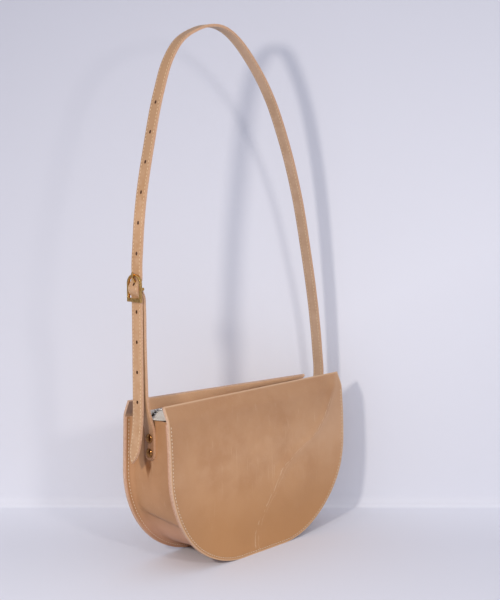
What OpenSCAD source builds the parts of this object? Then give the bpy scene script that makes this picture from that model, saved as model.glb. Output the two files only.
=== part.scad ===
// Leather saddle handbag: two D-shaped panels on a turned-out gusset, closed by a zip,
// with a shoulder strap that runs through a centre-bar buckle on one side.
// X runs along the bag's width, -Y is the front, Z is up, and the base rests on Z = 0.

/* [Bag body] */
// Width of the two panels
body_w = 280; // [260:1:300]
// Height of the two panels
body_h = 177; // [165:1:190]
// Radius of the two lower corners, as a share of the panels' height
corner_share = 0.6045; // [0.55:0.005:0.65]
// Depth over both panels at the base
base_depth = 73; // [66:1:80]
// Depth over both panels where the lips begin
top_depth = 63; // [60:1:66]
// Height of the lip that bends in above the gusset
lip_h = 15; // [12:1:18]
// How far each lip leans in over its height
lip_in = 6; // [3:0.5:8]
// Radius of the bend between panel and lip
lip_bend_r = 14; // [8:1:20]

/* [Leather] */
// Thickness of the panels
panel_t = 2.6; // [2:0.1:3.2]
// Thickness of the gusset
gusset_t = 2.2; // [1.6:0.1:2.6]
// Width of the sewn edge, from the panel's edge to the gusset's wall
seam_w = 7; // [6:0.5:9]

/* [Zip] */
// Thickness of the zip tape
tape_t = 0.6; // [0.5:0.05:0.8]
// Depth of the sewn edge of the tape, down the panel
tape_seam = 9; // [6:0.5:12]
// Width over both rows of teeth
chain_w = 6.4; // [6:0.1:7]
// Height of a tooth
tooth_h = 2.2; // [2:0.1:2.6]
// Spacing of the teeth in one row
tooth_pitch = 2.8; // [2.6:0.1:3.2]
// Thickness of a tooth along the chain
tooth_t = 1.5; // [1.2:0.1:1.6]
// Width of the running slot between the two rows
chain_slot = 1.2; // [1.2:0.1:1.4]
// Length of the slider
slider_l = 10; // [9:0.5:12]
// Thickness of the slider's two plates
slider_plate_t = 1.1; // [1:0.1:1.4]
// Length of the pull beyond its hinge
pull_l = 23; // [18:1:25]
// Width of the pull
pull_w = 7; // [6.4:0.2:9]
// Thickness of the pull
pull_t = 1.2; // [1:0.1:1.4]

/* [Shoulder strap] */
// Width of the strap
strap_w = 13; // [12:0.5:14]
// Thickness of the strap, over both layers
strap_t = 2.6; // [2.2:0.1:3]
// Height of the strap's crown above the panels
strap_rise = 378; // [340:1:420]
// How far the buckled side stands out from the panels' edges
strap_out = 10.1; // [9.5:0.1:12]
// Place of the strap's middle, in front of the bag's middle
strap_front = 1.5; // [0:0.5:3]
// Height of the tail's tip above the base
tail_z = 118; // [110:1:125]
// Spacing of the strap's holes
hole_pitch = 30; // [26:1:32]
// Number of holes below the buckle
holes_below = 4; // [1:1:4]
// Number of holes above the buckle
holes_above = 6; // [1:1:7]
// Width of a strap hole
hole_w = 2.6; // [2.6:0.1:3]
// Length of a strap hole
hole_l = 3.6; // [3.2:0.1:4]
// Length of the hole in use, which the prong has pulled longer
used_hole_l = 6.2; // [6:0.1:6.6]

/* [Buckle] */
// Height of the centre bar above the base
buckle_z = 293; // [280:0.5:305]
// Width over the frame
frame_w = 19.2; // [18.6:0.2:21]
// Width of the frame's sides and arched top
frame_rail = 2.1; // [1.9:0.1:2.3]
// Height of the frame's flat bottom bar
frame_foot = 4; // [3.4:0.1:4.4]
// Depth of the frame, front to back
frame_t = 2.6; // [2:0.1:3]
// Height from the centre bar down to the frame's foot
frame_drop = 13; // [12.6:0.2:15]
// Height from the centre bar up to the start of the arch
frame_spring = 5; // [4.6:0.2:7]
// Radius of the centre bar
bar_r = 1.1; // [1:0.05:1.2]
// Thickness of the buckle strap's leather
wrap_t = 1.4; // [1.2:0.1:1.5]
// Width of the prong
prong_w = 2; // [1.8:0.1:2]
// Thickness of the prong
prong_t = 1.8; // [1.6:0.1:1.8]

/* [Rivets] */
// Radius of a rivet's domed cap
cap_r = 4.8; // [4.4:0.1:5.4]
// Height of the dome
cap_h = 2; // [1.6:0.1:2.4]
// Radius of a rivet's post
post_r = 1.6; // [1.4:0.1:1.9]
// Drop from the panels' top edges to the upper rivet
rivet_drop = 36; // [32:1:38]
// Spacing of the two rivets
rivet_pitch = 15; // [13:1:16]
// Leather left beyond the lower rivet's middle
rivet_end = 7.5; // [7:0.5:8]

/* [Hidden] */
$fn = 64;

// Space between two sheets that are sewn or riveted together
ply_gap = 0.05;
// Space between a soft piece and what moves past it
run_gap = 0.3;
// Radial play of a pin in its bore
pin_gap = 0.05;
// Overrun of every cut
cut = 1;
// Steps of a curve between two of its points, of the panels' bend and of the buckle strap's fold
curve_steps = 4;
bend_steps = 5;
fold_steps = 12;

// Body lines
half_w = body_w / 2;
corner_r = corner_share * body_h;
flat_half = half_w - corner_r;
lip_z = body_h - lip_h;
gusset_z = lip_z - gusset_t;
wall_x = half_w - seam_w;
// Outer faces of the panels, as half depths, and the faces of what is sewn inside them
function outer_y(z) = (base_depth + (top_depth - base_depth) * z / lip_z) / 2;
function inner_y(z) = outer_y(z) - panel_t - ply_gap;

// Zip lines
zip_z = lip_z - tape_t;
tape_left = half_w - seam_w / 2;
tape_right = wall_x - gusset_t - run_gap;
slider_x = wall_x - pull_l - run_gap - pin_gap - strap_t;
slider_w = chain_w + 2 * (run_gap + slider_plate_t);
slider_mouth = tooth_h / 2 + run_gap;
slider_top = slider_mouth + slider_plate_t;
slider_post_gap = 0.2;
stop_l = tooth_t + pin_gap;
stop_right = slider_x + slider_l / 2 + run_gap;
stop_left = -wall_x + gusset_t + run_gap;
bail_w = 2 * slider_plate_t;
bail_in_r = pull_t / 2 + 2 * pin_gap + run_gap / 2;
bail_out_r = bail_in_r + slider_plate_t;
window_w = bail_w + 2 * run_gap;

// Strap lines
rivet_top_z = body_h - rivet_drop;
rivet_z = rivet_top_z - rivet_pitch;
strap_y = -strap_front;
strap_x = half_w + strap_out;
strap_end_x = wall_x + ply_gap + strap_t / 2;
strap_foot_z = rivet_z - rivet_end;
tip_share = 1.3;
tip_l = strap_w * tip_share;

// Buckle lines
fold_out = bar_r + pin_gap + wrap_t / 2;
// Room in which the buckle tilts, between the strap and the frame
frame_gap = 0.95;
frame_x = -(strap_x + strap_t / 2 + frame_gap);
arch_z = buckle_z + frame_spring;
// The centre bar lies behind the frame's inner face by this share of the frame's depth
bar_back_share = 0.48;
bar_x = frame_x + frame_t * bar_back_share;
// The strap's middle where it passes over the bar, and the clear heights below and above the bar
over_x = bar_x - fold_out - (wrap_t + strap_t) / 2 - run_gap / 2;
pass_drop = frame_drop - frame_foot;
pass_rise = frame_spring + sqrt(pow(frame_w / 2 - frame_rail, 2) - strap_w * strap_w / 4);
lug_r = bar_r + frame_rail / 4;
prong_eye_r = bar_r + pin_gap + prong_t / 2;
prong_slot = prong_w + 2 * run_gap;

// Unit vector, the vector turned left by a right angle, and a reversed list
function unit(v) = v / norm(v);
function turned(v) = [-v.y, v.x];
function reversed(p) = [for (i = [len(p) - 1 : -1 : 0]) p[i]];
function leg_normal(p, i) = turned(unit(p[i + 1] - p[i]));

// Offset direction at a point of a path, lengthened so that the sheet keeps its thickness
function corner_normal(p, i) =
    i == 0 ? leg_normal(p, 0) :
    i == len(p) - 1 ? leg_normal(p, i - 1) :
    let (a = leg_normal(p, i - 1), b = leg_normal(p, i)) (a + b) / (1 + a * b);
function beside(p, d) = [for (i = [0 : len(p) - 1]) p[i] + d * corner_normal(p, i)];

// Closed outline of a sheet that lies from distance a to distance b beside a path
function sheet(p, a, b) = concat(beside(p, b), reversed(beside(p, a)));

// Smooth curve through a list of points, at any spacing. It stays upright between two points of which
// one lies straight above the other.
function tangent(p, i) =
    i == 0 ? unit(p[1] - p[0]) :
    i == len(p) - 1 ? unit(p[i] - p[i - 1]) :
    let (a = p[i] - p[i - 1], b = p[i + 1] - p[i])
    a.x == 0 || b.x == 0 ? [0, sign(b.y)] : unit(unit(a) * norm(b) + unit(b) * norm(a));
function curve_point(p, i, t) =
    let (way = p[i + 1] - p[i], a = tangent(p, i) * norm(way), b = tangent(p, i + 1) * norm(way))
    p[i] + a * t + (3 * way - 2 * a - b) * t * t + (a + b - 2 * way) * t * t * t;
function curve(p) =
    concat([for (i = [0 : len(p) - 2], k = [0 : curve_steps - 1]) curve_point(p, i, k / curve_steps)],
        [p[len(p) - 1]]);

// Two straight legs joined by an arc that touches both, and half the angle between the legs
function half_angle(a, b, c) = acos(unit(a - b) * unit(c - b)) / 2;
function bent(a, b, c, r) =
    let (u = unit(a - b), v = unit(c - b), half = half_angle(a, b, c), reach = r / tan(half),
        middle = b + unit(u + v) * r / sin(half),
        from = b + u * reach - middle, to = b + v * reach - middle)
    concat([a], [for (k = [0 : bend_steps])
        middle + r * unit(from * (1 - k / bend_steps) + to * (k / bend_steps))], [c]);

// Walks along a path: the point and the direction at a given distance
function reach_of(p, i = 0, s = 0) = i == len(p) - 1 ? [s] :
    concat([s], reach_of(p, i + 1, s + norm(p[i + 1] - p[i])));
function leg_at(reach, s) = max([for (i = [0 : len(reach) - 2]) if (reach[i] <= s) i]);
function point_at(p, reach, s) = let (i = leg_at(reach, s)) p[i] + unit(p[i + 1] - p[i]) * (s - reach[i]);
function way_at(p, reach, s) = let (i = leg_at(reach, s)) unit(p[i + 1] - p[i]);

// Solids drawn in the XZ plane and carried along Y, or drawn in the YZ plane and carried along X
module along_y(y0, y1) {
    translate([0, y1, 0])
        rotate([90, 0, 0])
            linear_extrude(y1 - y0) children();
}
module along_x(x0, x1) {
    translate([x0, 0, 0])
        rotate([90, 0, 90])
            linear_extrude(x1 - x0) children();
}

// D-shaped outline of the panels, drawn in by an inset
module d_outline(inset, top) {
    for (side = [-1, 1])
        translate([side * flat_half, corner_r])
            circle(r = corner_r - inset, $fn = 128);
    translate([-flat_half, inset])
        square([2 * flat_half, corner_r - inset]);
    translate([inset - half_w, corner_r])
        square([2 * (half_w - inset), top - corner_r]);
}

// Line of the front panel's outer face, from the base over the bend to its top edge
panel_ends = [[-outer_y(0), 0], [-outer_y(lip_z), lip_z], [lip_in - outer_y(lip_z), body_h]];
panel_line = bent(panel_ends[0], panel_ends[1], panel_ends[2], lip_bend_r);
bend_half = half_angle(panel_ends[0], panel_ends[1], panel_ends[2]);
// Depth from the bend's corner to the panel's inner face, and the height at which the bend begins
bend_depth = lip_bend_r / sin(bend_half) - lip_bend_r + panel_t;
bend_z = lip_z - lip_bend_r / tan(bend_half);

module panel() {
    intersection() {
        along_y(-base_depth, 0) d_outline(0, body_h);
        along_x(-half_w, half_w) polygon(sheet(panel_line, -panel_t, 0));
    }
}

module front_panel() {
    color("burlywood") panel();
}

module back_panel() {
    color("burlywood") mirror([0, 1, 0]) panel();
}

// Gusset: a wall set in from the panels' edges, with both edges turned out against the panels
gusset_out = [panel_t + ply_gap, panel_t + ply_gap + gusset_t];

module gusset_side() {
    // one turned-out edge, which lies on the panel
    intersection() {
        along_y(-base_depth, 0)
            difference() {
                d_outline(0, gusset_z);
                d_outline(seam_w + gusset_t, gusset_z + cut);
            }
        along_x(-half_w, half_w)
            polygon(sheet([[-outer_y(0), 0], [-outer_y(gusset_z), gusset_z]],
                -gusset_out[1], -gusset_out[0]));
    }
}

module gusset_wall() {
    intersection() {
        along_y(-base_depth, base_depth)
            difference() {
                d_outline(seam_w, gusset_z);
                d_outline(seam_w + gusset_t, gusset_z + cut);
            }
        along_x(-half_w, half_w)
            polygon([[-outer_y(0) + gusset_out[0], 0], [-outer_y(gusset_z) + gusset_out[0], gusset_z],
                [outer_y(gusset_z) - gusset_out[0], gusset_z], [outer_y(0) - gusset_out[0], 0]]);
    }
}

module gusset() {
    color("burlywood")
        difference() {
            union() {
                gusset_wall();
                gusset_side();
                mirror([0, 1, 0]) gusset_side();
            }
            for (side = [-1, 1]) rivet_holes(side, wall_x - gusset_t);
        }
}

// Zip tape: flat from the chain to the panel, then down the panel's inner face
tape_foot_z = zip_z - tape_seam;
tape_line = [[-chain_slot / 2 - tooth_t, zip_z], [bend_depth + ply_gap - outer_y(lip_z), zip_z],
    [-inner_y(bend_z), bend_z], [-inner_y(tape_foot_z), tape_foot_z]];

module tape() {
    along_x(-tape_right, tape_right) polygon(sheet(tape_line, 0, tape_t));
    // the left end runs out over the gusset's top edge
    along_x(-tape_left, cut - tape_right) polygon(sheet([tape_line[0], tape_line[1]], 0, tape_t));
}

module zip_tape_front() {
    color("whitesmoke") tape();
}

module zip_tape_back() {
    color("whitesmoke") mirror([0, 1, 0]) tape();
}

// Row of metal teeth, each clamped over the edge of its tape
tape_mid_z = zip_z - tape_t / 2;
tooth_count = floor((stop_right - stop_left - 2 * stop_l) / tooth_pitch);

module tooth() {
    difference() {
        along_y(-chain_w / 2, -chain_slot / 2) square([tooth_t, tooth_h], center = true);
        translate([-tooth_t, -chain_w, -tape_t / 2 - pin_gap / 2])
            cube([2 * tooth_t, chain_w - chain_slot / 2 - tooth_t + pin_gap, tape_t + pin_gap]);
    }
}

module teeth() {
    for (i = [0 : tooth_count - 1])
        translate([stop_left + stop_l + (2 * i + 1) * tooth_pitch / 2, 0, tape_mid_z]) tooth();
}

module zip_teeth_front() {
    color("silver") teeth();
}

module zip_teeth_back() {
    color("silver") mirror([0, 1, 0]) teeth();
}

// Stops: one across the chain at its left end, and one on each row at its right end
module zip_stops() {
    color("silver") {
        for (side = [0, 1])
            mirror([0, side, 0])
                stop_block(stop_right, chain_slot / 2);
        for (side = [0, 1])
            mirror([0, side, 0])
                stop_block(stop_left, 0);
    }
}

module stop_block(x, inner) {
    difference() {
        translate([x, -chain_w / 2, tape_mid_z - tooth_h / 2])
            cube([stop_l, chain_w / 2 - inner, tooth_h]);
        translate([x - cut, -chain_w, tape_mid_z - tape_t / 2 - pin_gap / 2])
            cube([stop_l + 2 * cut, chain_w - chain_slot / 2 - tooth_t + pin_gap, tape_t + pin_gap]);
    }
}

// Slider: two plates with turned-in sides, joined by the post that runs in the slot
module slider_plate() {
    wing = slider_mouth - tape_t / 2 - run_gap;
    translate([0, 0, slider_mouth])
        linear_extrude(slider_plate_t)
            intersection() {
                square([slider_l, slider_w], center = true);
                circle(d = slider_l + slider_plate_t, $fn = 96);
            }
    for (side = [-1, 1])
        translate([0, side * (slider_w - slider_plate_t) / 2, slider_mouth + (slider_plate_t - wing) / 2])
            cube([slider_l / 2, slider_plate_t, wing + slider_plate_t], center = true);
}

module slider_bail() {
    // the hollow under the bail holds the pull's bar
    translate([0, 0, slider_top])
        along_y(-bail_w / 2, bail_w / 2)
            intersection() {
                difference() {
                    union() {
                        translate([0, run_gap + pull_t / 2]) circle(r = bail_out_r);
                        translate([-bail_out_r, -slider_plate_t / 2])
                            square([2 * bail_out_r, run_gap + pull_t / 2 + slider_plate_t / 2]);
                    }
                    translate([0, run_gap + pull_t / 2]) circle(r = bail_in_r);
                    translate([-bail_in_r, 0]) square([2 * bail_in_r, run_gap + pull_t / 2]);
                }
                translate([-slider_l, -slider_plate_t / 2]) square([2 * slider_l, slider_l]);
            }
}

module zip_slider() {
    post_t = chain_slot - 2 * slider_post_gap;
    color("silver")
        translate([slider_x, 0, tape_mid_z]) {
            slider_plate();
            mirror([0, 0, 1]) slider_plate();
            translate([slider_l / 2 - 2 * slider_plate_t, -post_t / 2, -slider_mouth - slider_plate_t / 2])
                cube([slider_plate_t, post_t, 2 * slider_mouth + slider_plate_t]);
            slider_bail();
        }
}

// Pull: a tab whose window passes over the bail, with a round bar under the bail
pull_z = tape_mid_z + slider_top + run_gap + pull_t / 2;

module zip_pull() {
    arm_l = bail_out_r + 2 * pin_gap + run_gap;
    color("silver")
        translate([slider_x, 0, pull_z]) {
            translate([0, pull_w / 2, 0])
                rotate([90, 0, 0]) cylinder(r = pull_t / 2, h = pull_w);
            difference() {
                translate([0, 0, -pull_t / 2])
                    linear_extrude(pull_t)
                        union() {
                            translate([0, -pull_w / 2]) square([pull_l - pull_w / 2, pull_w]);
                            translate([pull_l - pull_w / 2, 0]) circle(d = pull_w);
                        }
                translate([-cut, -window_w / 2, -pull_t]) cube([arm_l + cut, window_w, 2 * pull_t]);
                translate([pull_l - pull_w / 2, 0, -pull_t]) cylinder(d = pull_w / 2, h = 2 * pull_t);
                translate([-pull_l, -pull_w, -pull_t]) cube([pull_l, 2 * pull_w, 2 * pull_t]);
            }
        }
}

// Line of the strap's middle. The tail's lower end curls away from the bag: out from the strap's
// line and up from the tip, in shares of the strap's width.
tail_shares = [[0.35, 0], [0.09, 2], [0, 4]];
// Length of the straight part above the buckle, in the same shares
straight_share = 1.615;
// The strap dips out over the centre bar, between the frame's foot and its arch: out from the strap's
// line in shares of the dip, and along in shares of the clear heights below and above the bar
under_shares = [[0, 1.2], [0.1, 0.87], [0.61, 0.49]];
above_shares = [[0.61, 0.5], [0.1, 0.89], [0, 1.22]];
function over_line(share) = -strap_x + (over_x + strap_x) * share;
straight_z = buckle_z + straight_share * strap_w;
crown_z = body_h + strap_rise;
// From the straight part up to the crown, in shares of the strap's distance from the bag's middle
// and of the climb
climb_shares = [[0.991, 0.082], [0.978, 0.177], [0.95, 0.299], [0.89, 0.473], [0.784, 0.718],
    [0.703, 0.842], [0.59, 0.929], [0.466, 0.972], [0.336, 0.997], [0.224, 1]];
// From the crown down to the right gusset, in shares of the half width and of the rise above the panels
fall_shares = [[-0.14, 0.99], [-0.03, 0.967], [0.103, 0.925], [0.331, 0.826], [0.51, 0.704],
    [0.681, 0.542], [0.803, 0.373], [0.917, 0.177], [0.961, 0.066], [0.981, -0.02]];
strap_line = curve(concat(
    [for (s = tail_shares) [-strap_x - s.x * strap_w, tail_z + s.y * strap_w]],
    [for (s = under_shares) [over_line(s.x), buckle_z - pass_drop * s.y]],
    [[over_x, buckle_z]],
    [for (s = above_shares) [over_line(s.x), buckle_z + pass_rise * s.y]],
    [[-strap_x, straight_z]],
    [for (s = climb_shares) [-strap_x * s.x, straight_z + s.y * (crown_z - straight_z)]],
    [for (s = fall_shares) [half_w * s.x, body_h + s.y * strap_rise]],
    [[strap_end_x + strap_t / 2, gusset_z - strap_t], [strap_end_x, rivet_top_z + cap_r],
        [strap_end_x, strap_foot_z]]));
strap_reach = reach_of(strap_line);
// Height of the hole in use above the centre bar, along the strap, as a share of the clear height
hook_share = 0.64;
// Distance from the tail's tip up to the middle of the hole in use
used_reach = max([for (i = [0 : len(strap_line) - 1])
    if (strap_line[i].x < 0 && strap_line[i].y <= buckle_z) strap_reach[i]])
    + hook_share * pass_rise;

// Oval hole through the strap
module oval_hole(p, way, length) {
    translate([p.x, strap_y, p.y])
        rotate([0, atan2(way.x, way.y), 0]) {
            for (end = [-1, 1])
                translate([0, 0, end * (length - hole_w) / 2])
                    rotate([0, 90, 0]) cylinder(d = hole_w, h = 2 * strap_t, center = true, $fn = 32);
            cube([2 * strap_t, hole_w, length - hole_w], center = true);
        }
}

// Outline of the strap's two ends, seen from the side of the bag
module strap_ends() {
    arc_r = (tip_l * tip_l + strap_w * strap_w / 4) / strap_w;
    along_x(-body_w, body_w)
        translate([strap_y - strap_w / 2, tail_z + tip_l]) square([strap_w, body_h + strap_rise]);
    along_x(-body_w, 0)
        intersection() {
            for (side = [-1, 1])
                translate([strap_y + side * (strap_w / 2 - arc_r), tail_z + tip_l])
                    circle(r = arc_r, $fn = 160);
            translate([strap_y - strap_w, tail_z - strap_w]) square([2 * strap_w, tip_l + strap_w + cut]);
        }
    along_x(0, body_w) {
        translate([strap_y, strap_foot_z + strap_w / 2]) circle(d = strap_w);
        translate([strap_y - strap_w / 2, strap_foot_z + strap_w / 2])
            square([strap_w, tail_z + tip_l + cut - strap_foot_z]);
    }
}

module strap_layer(a, b) {
    difference() {
        intersection() {
            along_y(strap_y - strap_w / 2, strap_y + strap_w / 2) polygon(sheet(strap_line, a, b));
            strap_ends();
        }
        for (i = [-holes_below : holes_above])
            let (s = used_reach + i * hole_pitch)
                oval_hole(point_at(strap_line, strap_reach, s), way_at(strap_line, strap_reach, s),
                    i == 0 ? used_hole_l : hole_l);
        rivet_holes(1, wall_x);
    }
}

module shoulder_strap() {
    color("tan") strap_layer(ply_gap / 2, strap_t / 2);
}

module strap_lining() {
    color("tan") strap_layer(-strap_t / 2, -ply_gap / 2);
}

// Buckle strap: one strip folded round the centre bar, both ends riveted to the left gusset.
// Its middle line draws in from the bar behind the strap, across in shares of the way in and down in
// shares of the clear height below the bar. It then goes down in shares of the way to the end of the
// zip tape, which it passes with a running gap, and straight down over the rivets.
neck_shares = [[1, 0], [0.62, 0.41], [0.18, 0.85]];
hang_shares = [[1, 0.134], [0.937, 0.391], [0.78, 0.693], [0.638, 0.849], [0.29, 0.95], [0, 1]];
hang_x = -(strap_x - strap_t / 2 - 2 * wrap_t);
pass_x = -(tape_left + wrap_t + ply_gap + 2 * run_gap);
leg_gap = wrap_t / 2 + ply_gap / 2;
leg_end_x = -(wall_x + ply_gap + wrap_t + ply_gap / 2);
leg_top = rivet_top_z + cap_r;
hang_points = concat(
    [for (s = neck_shares) [hang_x + (bar_x - hang_x) * s.x, buckle_z - pass_drop * s.y]],
    [for (s = hang_shares) [pass_x + (hang_x - pass_x) * s.x, buckle_z - (buckle_z - zip_z) * s.y]],
    [[leg_end_x, leg_top], [leg_end_x, strap_foot_z]]);
hang_line = curve(hang_points);
// Half the spread of the two legs: wide at the bar, closed after this share of the fold's radius
neck_share = 5;
neck_l = neck_share * fold_out;
function spread(z) = let (t = max(0, 1 - (buckle_z - z) / neck_l)) leg_gap + (fold_out - leg_gap) * t * t;
function leg_line(side) = [for (i = [0 : len(hang_line) - 1])
    hang_line[i] + side * spread(hang_line[i].y) * corner_normal(hang_line, i)];
fold_turn = atan2(hang_line[0].x - hang_line[1].x, hang_line[1].y - hang_line[0].y);
fold_line = [for (k = [1 : fold_steps - 1]) let (a = 180 * k / fold_steps + fold_turn + 180)
    [bar_x, buckle_z] + fold_out * [cos(a), sin(a)]];
buckle_strap_line = concat(reversed(leg_line(1)), fold_line, leg_line(-1));

module buckle_strap() {
    slot_z = buckle_z - prong_eye_r - run_gap;
    color("tan")
        difference() {
            intersection() {
                along_y(strap_y - strap_w / 2, strap_y + strap_w / 2)
                    polygon(sheet(buckle_strap_line, -wrap_t / 2, wrap_t / 2));
                along_x(-body_w, 0) {
                    translate([strap_y, strap_foot_z + strap_w / 2]) circle(d = strap_w);
                    translate([strap_y - strap_w / 2, strap_foot_z + strap_w / 2])
                        square([strap_w, buckle_z]);
                }
            }
            translate([bar_x - strap_w / 2, strap_y - prong_slot / 2, slot_z])
                cube([strap_w, prong_slot, strap_w]);
            rivet_holes(-1, wall_x);
        }
}

// Buckle: an arched frame outside the strap, with its centre bar on two short lugs
module frame_outline(inset) {
    half = frame_w / 2 - inset;
    foot = inset > 0 ? frame_foot : 0;
    translate([strap_y, arch_z]) circle(r = half);
    translate([strap_y - half, buckle_z - frame_drop + foot])
        square([2 * half, frame_drop + frame_spring - foot]);
}

module buckle_frame() {
    color("goldenrod") {
        along_x(frame_x - frame_t, frame_x)
            difference() {
                frame_outline(0);
                frame_outline(frame_rail);
            }
        for (side = [-1, 1])
            along_y(strap_y + side * (frame_w - frame_rail) / 2 - frame_rail / 2,
                strap_y + side * (frame_w - frame_rail) / 2 + frame_rail / 2) {
                translate([bar_x, buckle_z]) circle(r = lug_r);
                translate([frame_x - frame_t / 2, buckle_z - lug_r])
                    square([bar_x - frame_x + frame_t / 2, 2 * lug_r]);
            }
        translate([bar_x, strap_y + frame_w / 2, buckle_z])
            rotate([90, 0, 0]) cylinder(r = bar_r, h = frame_w);
    }
}

// Prong: an eye round the centre bar, out through the strap's hole and up over the frame's top
// Its first bend lies in the hole, out and up in shares of the strap's dip and of the clear height
prong_out_share = 0.2;
prong_rise_share = 0.55;
prong_over_x = frame_x - frame_t - run_gap - prong_t / 2;
prong_line = [[bar_x, buckle_z],
    [bar_x + (over_x - bar_x) * prong_out_share, buckle_z + pass_rise * prong_rise_share],
    [prong_over_x, arch_z + frame_w / 2 - frame_rail - prong_t / 2],
    [prong_over_x - run_gap / 2, arch_z + (frame_w + prong_t) / 2]];

module buckle_prong() {
    y0 = strap_y - prong_w / 2;
    y1 = strap_y + prong_w / 2;
    color("goldenrod")
        difference() {
            union() {
                along_y(y0, y1) polygon(sheet(prong_line, -prong_t / 2, prong_t / 2));
                along_y(y0, y1) translate([bar_x, buckle_z]) circle(r = prong_eye_r);
                along_y(y0, y1) translate(prong_line[3]) circle(d = prong_t);
            }
            along_y(y0 - cut, y1 + cut) translate([bar_x, buckle_z]) circle(r = bar_r + pin_gap);
        }
}

// Rivets: a domed cap with its pin outside, and a base disc with a tubular post inside the gusset
tube_share = 0.4;
tube_t = post_r * tube_share;
disc_t = cap_h / 2;
stack_left = 2 * wrap_t + 3 * ply_gap;
stack_right = strap_t + 2 * ply_gap;

module at_rivets(side) {
    for (k = [0, 1])
        translate([0, strap_y, rivet_z + k * rivet_pitch])
            mirror([side < 0 ? 1 : 0, 0, 0]) children();
}

module rivet_holes(side, x) {
    at_rivets(side)
        translate([x - cut, 0, 0])
            rotate([0, 90, 0]) cylinder(r = post_r + pin_gap, h = gusset_t + stack_left + 2 * cut);
}

module rivet_caps(side, stack) {
    dome_r = (cap_r * cap_r + cap_h * cap_h) / (2 * cap_h);
    at_rivets(side)
        translate([wall_x + stack, 0, 0])
            rotate([0, 90, 0]) {
                intersection() {
                    cylinder(r = cap_r, h = cap_h);
                    translate([0, 0, cap_h - dome_r]) sphere(r = dome_r);
                }
                translate([0, 0, -gusset_t])
                    cylinder(r = post_r - tube_t - pin_gap / 2, h = gusset_t + disc_t);
            }
}

module rivet_bases(side, stack) {
    at_rivets(side)
        translate([wall_x - gusset_t - ply_gap - disc_t, 0, 0])
            rotate([0, 90, 0])
                difference() {
                    union() {
                        cylinder(r = cap_r, h = disc_t);
                        cylinder(r = post_r, h = disc_t + gusset_t + stack - pin_gap);
                    }
                    translate([0, 0, disc_t])
                        cylinder(r = post_r - tube_t, h = gusset_t + stack + cut);
                }
}

module rivet_caps_left() {
    color("goldenrod") rivet_caps(-1, stack_left);
}

module rivet_bases_left() {
    color("goldenrod") rivet_bases(-1, stack_left);
}

module rivet_caps_right() {
    color("goldenrod") rivet_caps(1, stack_right);
}

module rivet_bases_right() {
    color("goldenrod") rivet_bases(1, stack_right);
}

front_panel();
back_panel();
gusset();
zip_tape_front();
zip_tape_back();
zip_teeth_front();
zip_teeth_back();
zip_stops();
zip_slider();
zip_pull();
shoulder_strap();
strap_lining();
buckle_strap();
buckle_frame();
buckle_prong();
rivet_caps_left();
rivet_bases_left();
rivet_caps_right();
rivet_bases_right();
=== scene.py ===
import math

import bmesh
import bpy
from mathutils import Matrix, Vector, noise


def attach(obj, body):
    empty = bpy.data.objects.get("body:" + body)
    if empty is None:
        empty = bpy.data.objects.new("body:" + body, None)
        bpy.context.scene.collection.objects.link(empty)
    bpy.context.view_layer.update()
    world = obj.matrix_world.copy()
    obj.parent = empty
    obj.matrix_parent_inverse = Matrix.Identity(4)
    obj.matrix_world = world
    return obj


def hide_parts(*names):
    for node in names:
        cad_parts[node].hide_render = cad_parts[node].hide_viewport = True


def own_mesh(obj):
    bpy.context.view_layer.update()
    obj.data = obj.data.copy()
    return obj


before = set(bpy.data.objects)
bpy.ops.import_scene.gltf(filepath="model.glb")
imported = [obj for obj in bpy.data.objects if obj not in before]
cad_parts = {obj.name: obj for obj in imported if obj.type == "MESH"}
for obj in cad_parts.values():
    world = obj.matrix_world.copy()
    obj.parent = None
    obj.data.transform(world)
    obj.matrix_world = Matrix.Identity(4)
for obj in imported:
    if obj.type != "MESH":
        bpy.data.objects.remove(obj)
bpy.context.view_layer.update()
mm = 0.001  # every length below is in millimetres until a piece is finished
print("frame loaded")

# sizes that most pieces share
bag = {
    "width": 280, "height": 177, "cornerRadius": 107, "baseDepth": 73, "topDepth": 63,
    "lipHeight": 15, "lipIn": 6, "lipBend": 3.5,
    "panelThickness": 2.6, "gussetThickness": 2.2, "seamWidth": 7, "plyGap": 0.05,
    # the front panel stands fuller than the back one, though only half as much at its top
    "frontBelly": 3.6, "bellyRise": (5, 75), "bellyEase": (125, 177), "bellyEased": 0.5,
}
halfWidth = bag["width"] / 2
flatHalf = halfWidth - bag["cornerRadius"]
lipZ = bag["height"] - bag["lipHeight"]
wallX = halfWidth - bag["seamWidth"]


def smooth(low, high, value):  # eases from 0 at low to 1 at high
    t = min(max((value - low) / (high - low), 0), 1)
    return t * t * (3 - 2 * t)


def softNoise(x, y, z, size):  # smooth random value from -1 to 1 with features of that size
    return noise.noise(Vector((x, y, z)) / size)


def outerY(z, side=1):  # half the depth over the panels at a height
    belly = 0
    if side < 0:
        eased = 1 - bag["bellyEased"] * smooth(*bag["bellyEase"], z)
        belly = bag["frontBelly"] * smooth(*bag["bellyRise"], z) * eased
    return (bag["baseDepth"] + (bag["topDepth"] - bag["baseDepth"]) * z / lipZ) / 2 + belly


def edgeDistance(x, z):  # inwards from the panels' D-shaped edge
    return bag["cornerRadius"] - math.hypot(max(abs(x) - flatHalf, 0), max(bag["cornerRadius"] - z, 0))


def linkObject(name, bm):
    for face in bm.faces:
        face.smooth = True
    mesh = bpy.data.meshes.new(name)
    bm.to_mesh(mesh)
    bm.free()
    piece = bpy.data.objects.new(name, mesh)
    bpy.context.scene.collection.objects.link(piece)
    return piece


def finishPiece(name, bm, body, materials, nodes=()):
    bmesh.ops.scale(bm, vec=(mm, mm, mm), verts=bm.verts[:])
    piece = linkObject(name, bm)
    for material in materials:
        piece.data.materials.append(material)
    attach(piece, body)
    if nodes:
        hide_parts(*nodes)
    return piece


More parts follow.
